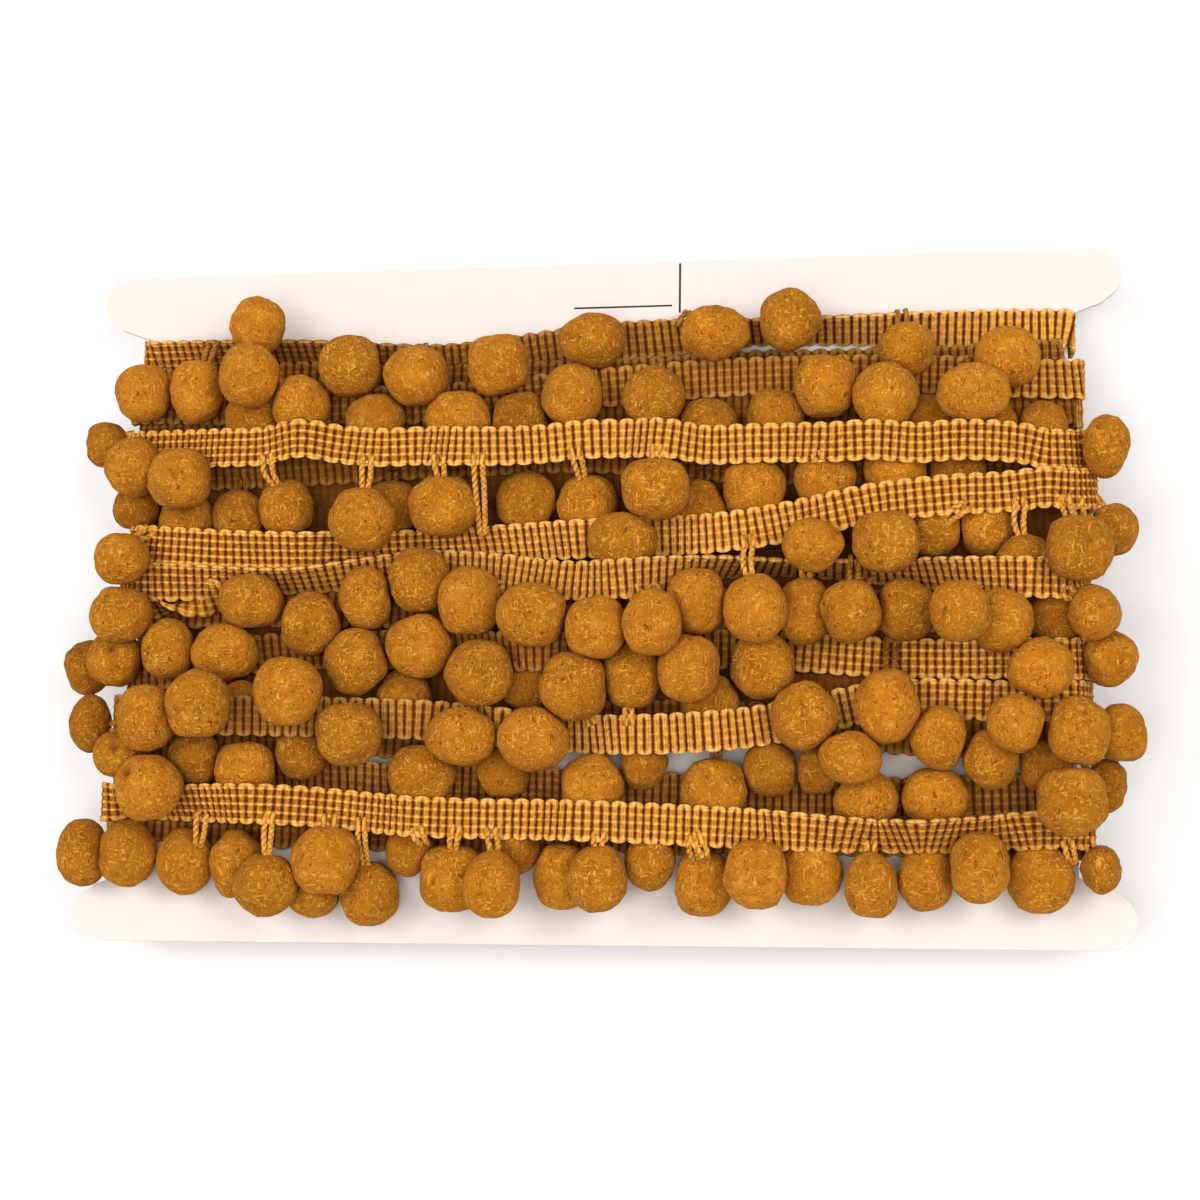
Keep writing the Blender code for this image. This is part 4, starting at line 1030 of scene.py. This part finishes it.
def make_inner_turns(name, face, seed, material):
    """The hidden turns: a low pad whose top shows rows of braid, darkened nearly to the painted shade colour
    by painted shade.
    """
    xs = np.linspace(-CORE_END_X, CORE_END_X, CORE_GRID[0])
    ys = np.linspace(CORE_MID_Y - CORE_HALF_Y, CORE_MID_Y + CORE_HALF_Y, CORE_GRID[1])
    x, y = np.meshgrid(xs, ys, indexing="ij")
    base = np.array([[core_top(a, b) for b in ys] for a in xs])
    row = (y - CORE_ROW_FIRST + CORE_SWAY * np.sin(x / CORE_SWAY_LENGTH + seed)) / CORE_ROW
    v = (row - np.floor(row) - 0.5) * CORE_ROW
    relief = 1.0 * (np.abs(v) < CORE_ROW_HALF)
    top = np.maximum(base - CORE_SINK + CORE_RELIEF * relief, CORE_LEAST_H)
    count, width = x.shape
    levels = [np.stack([x, y, h], -1).reshape(-1, 3) for h in (top, np.full_like(x, CORE_UNDER_H))]
    i, j = np.meshgrid(np.arange(count - 1), np.arange(width - 1), indexing="ij")
    a = (i * width + j).ravel()
    quads = np.stack([a, a + width, a + width + 1, a + 1], 1)
    rim = np.concatenate([
        np.arange(width), np.arange(1, count) * width + width - 1,
        (count - 1) * width + np.arange(width - 2, -1, -1), np.arange(count - 2, 0, -1) * width,
    ])
    nxt = np.roll(rim, -1)
    walls = np.stack([rim, nxt, nxt + count * width, rim + count * width], 1)
    faces = np.vstack([quads, quads[:, ::-1] + count * width, walls]).tolist()
    along, across, crest = (
        np.append(value, np.zeros(count * width)) for value in (x + CORE_SHIFT * np.floor(row), v, relief)
    )
    obj = mesh_object(
        name, np.vstack(levels), faces, face, material, along=along, across=across, crest=crest,
        threads=np.full(len(along), 0.5), shade=np.full(len(along), INNER_PAINTED_SHADE),
    )
    settle_in(obj, name.replace("_yarn", ""))


# ---- finishes

# Noise scales are in waves a metre, and the stops of a ramp are pairs of place and colour.

def put(tree, socket, value):
    """Links another node's output to a socket, or sets the socket's own value."""
    if hasattr(value, "links"):
        tree.links.new(value, socket)
    else:
        socket.default_value = value


def node(tree, kind, **values):
    """A new node, with each value set on its input of that name or on itself."""
    made = tree.nodes.new(kind)
    for key, value in values.items():
        if key in made.inputs:
            made.inputs[key].default_value = value
        else:
            setattr(made, key, value)
    return made


def ramp(tree, source, stops):
    """A colour ramp over a value."""
    made = tree.nodes.new("ShaderNodeValToRGB")
    elements = made.color_ramp.elements
    while len(elements) < len(stops):
        elements.new(0.5)
    for element, (place, colour) in zip(elements, stops):
        element.position = place
        element.color = (*colour, 1.0)
    tree.links.new(source, made.inputs["Fac"])
    return made.outputs["Color"]


def mixed(tree, factor, a, b, blend="MIX"):
    """Colour a turned into colour b, or blended with it, by the factor."""
    made = tree.nodes.new("ShaderNodeMix")
    made.data_type = "RGBA"
    made.blend_type = blend
    put(tree, made.inputs["Factor"], factor)
    for socket, colour in ((made.inputs[6], a), (made.inputs[7], b)):
        put(tree, socket, colour if hasattr(colour, "links") else (*colour, 1.0))
    return made.outputs[2]


def finish(name, roughness, shine=PLAIN_SHINE, sheen=0.0, sheen_tint=(1, 1, 1)):
    """A new material, its node tree and its shader."""
    material = bpy.data.materials.new(name)
    material.use_nodes = True
    shader = material.node_tree.nodes["Principled BSDF"]
    for socket, value in (
        ("Roughness", roughness), ("Specular IOR Level", shine), ("Sheen Weight", sheen),
        ("Sheen Tint", (*sheen_tint, 1.0)), ("Sheen Roughness", SHEEN_ROUGHNESS),
    ):
        shader.inputs[socket].default_value = value
    return material, material.node_tree, shader


def noise_at(tree, scale, detail, distortion=0.0, stretch=None):
    """Noise in the object's own space, stretched where that is asked for."""
    where = tree.nodes.new("ShaderNodeTexCoord").outputs["Object"]
    if stretch:
        mapping = node(tree, "ShaderNodeMapping", Scale=stretch)
        tree.links.new(where, mapping.inputs["Vector"])
        where = mapping.outputs["Vector"]
    made = node(tree, "ShaderNodeTexNoise", Scale=scale, Detail=detail, Distortion=distortion)
    tree.links.new(where, made.inputs["Vector"])
    return made.outputs["Fac"]


def coated(tree, shader, colour, height, strength, distance):
    """Colours the shader's surface and bumps it by a height; the distance is in millimetres."""
    tree.links.new(colour, shader.inputs["Base Color"])
    bump = node(tree, "ShaderNodeBump", Strength=strength, Distance=distance * MM)
    tree.links.new(height, bump.inputs["Height"])
    tree.links.new(bump.outputs["Normal"], shader.inputs["Normal"])


def reckon(tree, operation, *values):
    """One step of arithmetic on values or on other steps."""
    made = tree.nodes.new("ShaderNodeMath")
    made.operation = operation
    for socket, value in zip(made.inputs, values):
        put(tree, socket, value)
    return made.outputs["Value"]


def carried(tree, name):
    """A value that the mesh carries at its points."""
    return node(tree, "ShaderNodeAttribute", attribute_name=name).outputs["Fac"]


def grey(level):
    """A colour without hue."""
    return (level, level, level)


def times(share, colour):
    """A colour made darker or lighter."""
    return tuple(share * c for c in colour)


def felt_finish(look):
    """Dense matte felt: a ground with fine light fibre ends and small dark specks, under painted shade."""
    material, tree, shader = finish("ochre_felt", 0.95, 0.06, 0.12, (1.0, 0.55, 0.17))
    tones = ((0.0, times(0.86, look.felt)), (1.0, times(1.12, look.felt)))
    ground = ramp(tree, carried(tree, "tone"), tones)
    clouds = ((0.28, (0.80, 0.76, 0.70)), (0.72, (1.16, 1.18, 1.2)))
    ground = mixed(tree, 1.0, ground, ramp(tree, noise_at(tree, 230, 3, 0.4), clouds), "MULTIPLY")
    for scale, stretch in ((900, (1, 0.32, 1)), (980, (0.36, 1, 0.8))):
        fibres = noise_at(tree, scale, 3, 2.4, stretch)
        light = ramp(tree, fibres, ((0.58, grey(0)), (0.66, grey(0.9))))
        ground = mixed(tree, light, ground, tuple(look.felt_light))
    specks = noise_at(tree, 1100, 3, 1.6, (1, 0.6, 1))
    dark = ramp(tree, specks, ((0.33, grey(0.85)), (0.40, grey(0))))
    ground = mixed(tree, dark, ground, tuple(look.felt_dark))
    # Painted shade: darkens the felt towards the painted shade colour
    ground = mixed(tree, carried(tree, "shade"), tuple(look.painted_shade_colour), ground)
    coated(tree, shader, ground, noise_at(tree, 1150, 4, 1.4), 1.0, 0.55)
    return material


def woven_height(tree):
    """The weave, as weave() reckons it, from the places along and across that the mesh carries."""
    step = functools.partial(reckon, tree)
    turn = step("MULTIPLY", carried(tree, "along"), pi / PAIR_PITCH)
    rib = step("ABSOLUTE", step("SINE", turn))
    middle = step("DIVIDE", step("COSINE", turn), SPLIT_HALF)
    split = step("MAXIMUM", step("SUBTRACT", 1.0, step("MULTIPLY", middle, middle)), 0.0)
    rib = step("MULTIPLY", rib, step("MULTIPLY_ADD", split, -SPLIT_DEPTH, 1.0))
    row = step("DIVIDE", carried(tree, "across"), THREAD_PITCH)
    nearest = step("ROUND", row)
    off = step("MULTIPLY", step("SUBTRACT", row, nearest), THREAD_PITCH / THREAD_HALF)
    thread = step("MAXIMUM", step("SUBTRACT", 1.0, step("MULTIPLY", off, off)), 0.0)
    thread = step("SQRT", thread)
    wave = step("MULTIPLY_ADD", step("COSINE", step("MULTIPLY", turn, 2.0)), -THREAD_SWING, THREAD_MEAN)
    thread = step("MULTIPLY", thread, wave)
    gridded = step("MAXIMUM", step("MULTIPLY", rib, GRID_RIB), thread)
    grid = carried(tree, "threads")
    plain = step("MULTIPLY", rib, step("SUBTRACT", 1.0, grid))
    return step("MULTIPLY_ADD", gridded, grid, plain)


def yarn_finish(look, name, woven):
    """Matt yarn with fine fibres on it: painted shade in the grooves, painted highlights on the crests, paler
    at the edges, and painted shade over deep parts.
    """
    material, tree, shader = finish(name, 0.9, 0.05, 0.03, (1.0, 0.5, 0.12))
    crest = carried(tree, "crest")
    if woven:
        woven_part = reckon(tree, "MULTIPLY", woven_height(tree), 0.55)
        crest = reckon(tree, "MULTIPLY_ADD", crest, 0.45, woven_part)
    fray = reckon(tree, "MULTIPLY_ADD", noise_at(tree, 1300, 3, 0.8), 0.6, -0.30)
    crest = reckon(tree, "ADD", crest, fray)
    # Painted shade in the grooves, the yarn's own colour between, and painted highlights on the crests and
    # edges
    body = ramp(tree, crest, ((0.24, look.painted_shade_colour), (0.50, look.yarn), (0.82, look.crest), (1.0, look.edge)))
    fibres = ramp(tree, noise_at(tree, 700, 3, 0.4), ((0.3, (0.84, 0.82, 0.78)), (0.7, (1.10, 1.12, 1.12))))
    body = mixed(tree, 1.0, body, fibres, "MULTIPLY")
    # Painted shade: darkens the yarn towards the painted shade colour by place
    body = mixed(tree, carried(tree, "shade"), tuple(look.painted_shade_colour), body)
    coated(tree, shader, body, crest, 0.9, 0.40)
    return material


def paper_finish(look):
    """Smooth white paperboard with a faint tooth."""
    material, tree, shader = finish("white_card", 0.6)
    tooth = ramp(tree, noise_at(tree, 420, 3), ((0.2, times(0.98, look.card)), (0.8, look.card)))
    coated(tree, shader, tooth, noise_at(tree, 900, 2), 0.10, 0.04)
    return material


def ink_finish(look):
    """Dark printing ink."""
    material, _, shader = finish("dark_ink", 0.5)
    shader.inputs["Base Color"].default_value = (*look.ink, 1.0)
    return material


# ---- settings

def tint(name, description, default):
    """A colour setting."""
    return FloatVectorProperty(name=name, description=description, subtype="COLOR", default=default)


class TrimLook(bpy.types.PropertyGroup):
    """Colours of the trim and of its painted shade and painted highlights, fineness of its meshes, lens and
    light.
    """

    felt: tint("Felt", "Ground colour of the pompoms", (0.47, 0.165, 0.0095))
    felt_light: tint("Felt fibre ends", "Colour of the light flecks in the felt", (0.74, 0.34, 0.045))
    felt_dark: tint("Felt specks", "Colour of the dark specks in the felt", (0.17, 0.045, 0.003))
    # The dark that painted shade reaches: in the braid's grooves, on deep yarn and on deep felt
    painted_shade_colour: tint("Yarn grooves", "Colour between the yarns of the braid", (0.100, 0.022, 0.0020))
    yarn: tint("Yarn", "Colour of the braid's yarn", (0.45, 0.158, 0.011))
    # Painted highlights: on the crests of the braid and the loops, and paler on the braid's scallops
    crest: tint("Yarn crests", "Colour of the braid's raised yarn", (0.86, 0.42, 0.080))
    edge: tint("Yarn edges", "Colour of the scallops at the braid's edges", (0.92, 0.54, 0.21))
    card: tint("Card", "Colour of the paperboard", (0.80, 0.725, 0.665))
    ink: tint("Ink", "Colour of the printed rules", (0.03, 0.025, 0.03))
    braid_step: FloatProperty(
        name="Braid step", description="Spacing of the finest braid's rings", unit="LENGTH", default=0.00023
    )
    ball_fineness: IntProperty(
        name="Pompom fineness", description="How often each pompom's faces are divided", default=4
    )
    camera_lens: FloatProperty(name="Lens", description="Focal length, in millimetres", default=68.744)
    light_power: FloatProperty(
        name="Light", description="Power of each soft light", unit="POWER", default=5.0
    )


# ---- operators

@functools.lru_cache(maxsize=1)
def wound():
    """The braids' paths and the pompoms of both faces of the card: 1 is its front, -1 its back."""
    front_paths, front_pompoms = settle_front()
    back_paths, back_pompoms = settle_back()
    for k in back_paths:
        back_paths[k][-1, 0] = front_paths[k][-1, 0]
        back_paths[k][0, 0] = front_paths[k + 1][0, 0]
    for paths in (front_paths, back_paths):
        for path in paths.values():
            path[0, 2] = path[-1, 2] = MID_CARD_H
    return (1, front_paths, front_pompoms), (-1, back_paths, back_pompoms)


def courses():
    """Each course of both faces: its face, number, place in names, solid, paths and pompoms."""
    for face, paths, pompoms in wound():
        side = "front" if face > 0 else "back"
        for k in paths:
            yield face, k, f"{side}_{k + 1:02d}", f"{side}_course_{k + 1:02d}", paths, pompoms


class TRIM_OT_card(bpy.types.Operator):
    """Make the card"""

    bl_idname = "trim.card"
    bl_label = "Card"

    def execute(self, context):
        look = context.scene.trim_look
        make_card_board(paper_finish(look))
        make_rules(ink_finish(look))
        return {"FINISHED"}


class TRIM_OT_inner_turns(bpy.types.Operator):
    """Make the turns of trim that the outer courses hide"""

    bl_idname = "trim.inner_turns"
    bl_label = "Inner turns"

    def execute(self, context):
        material = yarn_finish(context.scene.trim_look, "inner_braid", True)
        make_inner_turns("inner_turns_front_yarn", 1, 1, material)
        make_inner_turns("inner_turns_back_yarn", -1, 2, material)
        return {"FINISHED"}


class TRIM_OT_braids(bpy.types.Operator):
    """Make the woven braid of each course"""

    bl_idname = "trim.braids"
    bl_label = "Braids"

    def execute(self, context):
        look = context.scene.trim_look
        material = yarn_finish(look, "ochre_braid", True)
        names = [row[0] for row in FRONT]
        for face, paths, _ in wound():
            side = "front" if face > 0 else "back"
            pieces = [(k, path, "braid", None) for k, path in paths.items()]
            if face > 0:
                # Strands of braid between courses, with their painted shade
                for course, shade, path in STRANDS:
                    pieces.append((names.index(course), np.array(path, float), "strand", level(shade)))
            for k, path, kind, shade_at in pieces:
                fine = face > 0 and names[k] in FINE_COURSES
                coarser = 1 if fine else FRONT_COARSER if face > 0 else BACK_COARSER
                step = look.braid_step / MM * coarser
                grid_at = GRID_AT.get(names[k], GRID_PLAIN) if face > 0 else GRID_PLAIN
                # Painted shade by place along the card: darker where a course lies deep
                shade_at = shade_at or (PAINTED_SHADE_AT[names[k]] if face > 0 else PAINTED_SHADE_PLAIN)
                name = f"{kind}_{side}_{k + 1:02d}"
                seed = BRAID_SEEDS * k + face + BRAID_FIRST_SEED
                obj = make_braid(name, path, face, grid_at, shade_at, seed, step, fine, material)
                settle_in(obj, f"{side}_course_{k + 1:02d}")
        return {"FINISHED"}


class TRIM_OT_loops(bpy.types.Operator):
    """Make the twisted loops that the pompoms hang from"""

    bl_idname = "trim.loops"
    bl_label = "Loops"

    def execute(self, context):
        material = yarn_finish(context.scene.trim_look, "ochre_loops", False)
        for face, k, place, solid, paths, pompoms in courses():
            # Painted shade of the loops: their course's, at one place along the card
            shade = (PAINTED_SHADE_AT[FRONT[k][0]] if face > 0 else PAINTED_SHADE_PLAIN)[LOOP_PAINTED_SHADE_AT]
            seed = LOOP_FIRST_SEED + k
            obj = make_loops("loops_" + place, k, paths, pompoms, face, shade, seed, material)
            settle_in(obj, solid)
        return {"FINISHED"}


class TRIM_OT_pompoms(bpy.types.Operator):
    """Make the felted pompoms"""

    bl_idname = "trim.pompoms"
    bl_label = "Pompoms"

    def execute(self, context):
        look = context.scene.trim_look
        material = felt_finish(look)
        for face, k, place, solid, _, pompoms in courses():
            fineness = look.ball_fineness - (face < 0)
            seed = POM_FIRST_SEED + k
            obj = make_pompoms("pompoms_" + place, k, pompoms, face, fineness, seed, material)
            settle_in(obj, solid)
        return {"FINISHED"}


class TRIM_OT_stage(bpy.types.Operator):
    """Make the pale floor, the soft lights and the camera"""

    bl_idname = "trim.stage"
    bl_label = "Stage"

    def execute(self, context):
        scene, look = context.scene, context.scene.trim_look
        bpy.ops.mesh.primitive_plane_add(size=FLOOR_SIZE, location=(0, 0, FLOOR_Z))
        floor = context.object
        floor.name = "pale_floor"
        material, _, shader = finish("pale_floor", 0.9)
        shader.inputs["Base Color"].default_value = FLOOR_COLOUR
        floor.data.materials.append(material)
        for name, place, size, power in LIGHTS:
            data = bpy.data.lights.new(name, "AREA")
            data.shape = "RECTANGLE"
            data.size, data.size_y = size
            data.energy = power * look.light_power
            lamp = linked(name, data)
            lamp.location = place
            lamp.rotation_euler = (-Vector(place)).to_track_quat("-Z", "Y").to_euler()
        world = bpy.data.worlds.new("soft_studio")
        scene.world = world
        world.use_nodes = True
        background = world.node_tree.nodes["Background"]
        background.inputs["Color"].default_value = WORLD_COLOUR
        background.inputs["Strength"].default_value = WORLD_STRENGTH
        scene.view_settings.view_transform = "Standard"
        turn, rise, roll = (radians(v) for v in CAMERA_TURN_RISE_ROLL)
        back = Vector((sin(turn) * cos(rise), -cos(turn) * cos(rise), sin(rise)))
        right = Vector((0, 1, 0)).cross(back).normalized()
        up = back.cross(right)
        level_right, level_up = right, up
        right = level_right * cos(roll) + level_up * sin(roll)
        up = level_up * cos(roll) - level_right * sin(roll)
        tilted = Matrix((right, up, back)).transposed()
        target = Vector((*CAMERA_TARGET, BACK_DEPTH + CARD_T)) * MM
        data = bpy.data.cameras.new("camera")
        data.lens = look.camera_lens
        data.sensor_width = SENSOR_WIDTH
        data.clip_end = CLIP_END
        scene.camera = linked("camera", data)
        scene.camera.matrix_world = Matrix.Translation(target + back * CAMERA_DISTANCE * MM) @ tilted.to_4x4()
        return {"FINISHED"}


class TRIM_PT_panel(bpy.types.Panel):
    """Lists the pieces of the trim"""

    bl_label = "Pompom Trim"
    bl_idname = "TRIM_PT_panel"
    bl_space_type = "VIEW_3D"
    bl_region_type = "UI"
    bl_category = "Trim"

    def draw(self, context):
        for operator in OPERATORS:
            self.layout.operator(operator.bl_idname)
        for name in TrimLook.__annotations__:
            self.layout.prop(context.scene.trim_look, name)


OPERATORS = (TRIM_OT_stage, TRIM_OT_card, TRIM_OT_inner_turns, TRIM_OT_braids, TRIM_OT_loops, TRIM_OT_pompoms)
CLASSES = (TrimLook, *OPERATORS, TRIM_PT_panel)


def register():
    """Adds the classes and the settings to Blender."""
    for each in CLASSES:
        bpy.utils.register_class(each)
    bpy.types.Scene.trim_look = PointerProperty(type=TrimLook)


def unregister():
    """Takes them away again."""
    del bpy.types.Scene.trim_look
    for each in reversed(CLASSES):
        bpy.utils.unregister_class(each)


def main():
    """Registers the add-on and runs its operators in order."""
    register()
    for operator in OPERATORS:
        group, call = operator.bl_idname.split(".")
        getattr(getattr(bpy.ops, group), call)()


if __name__ == "__main__":
    main()
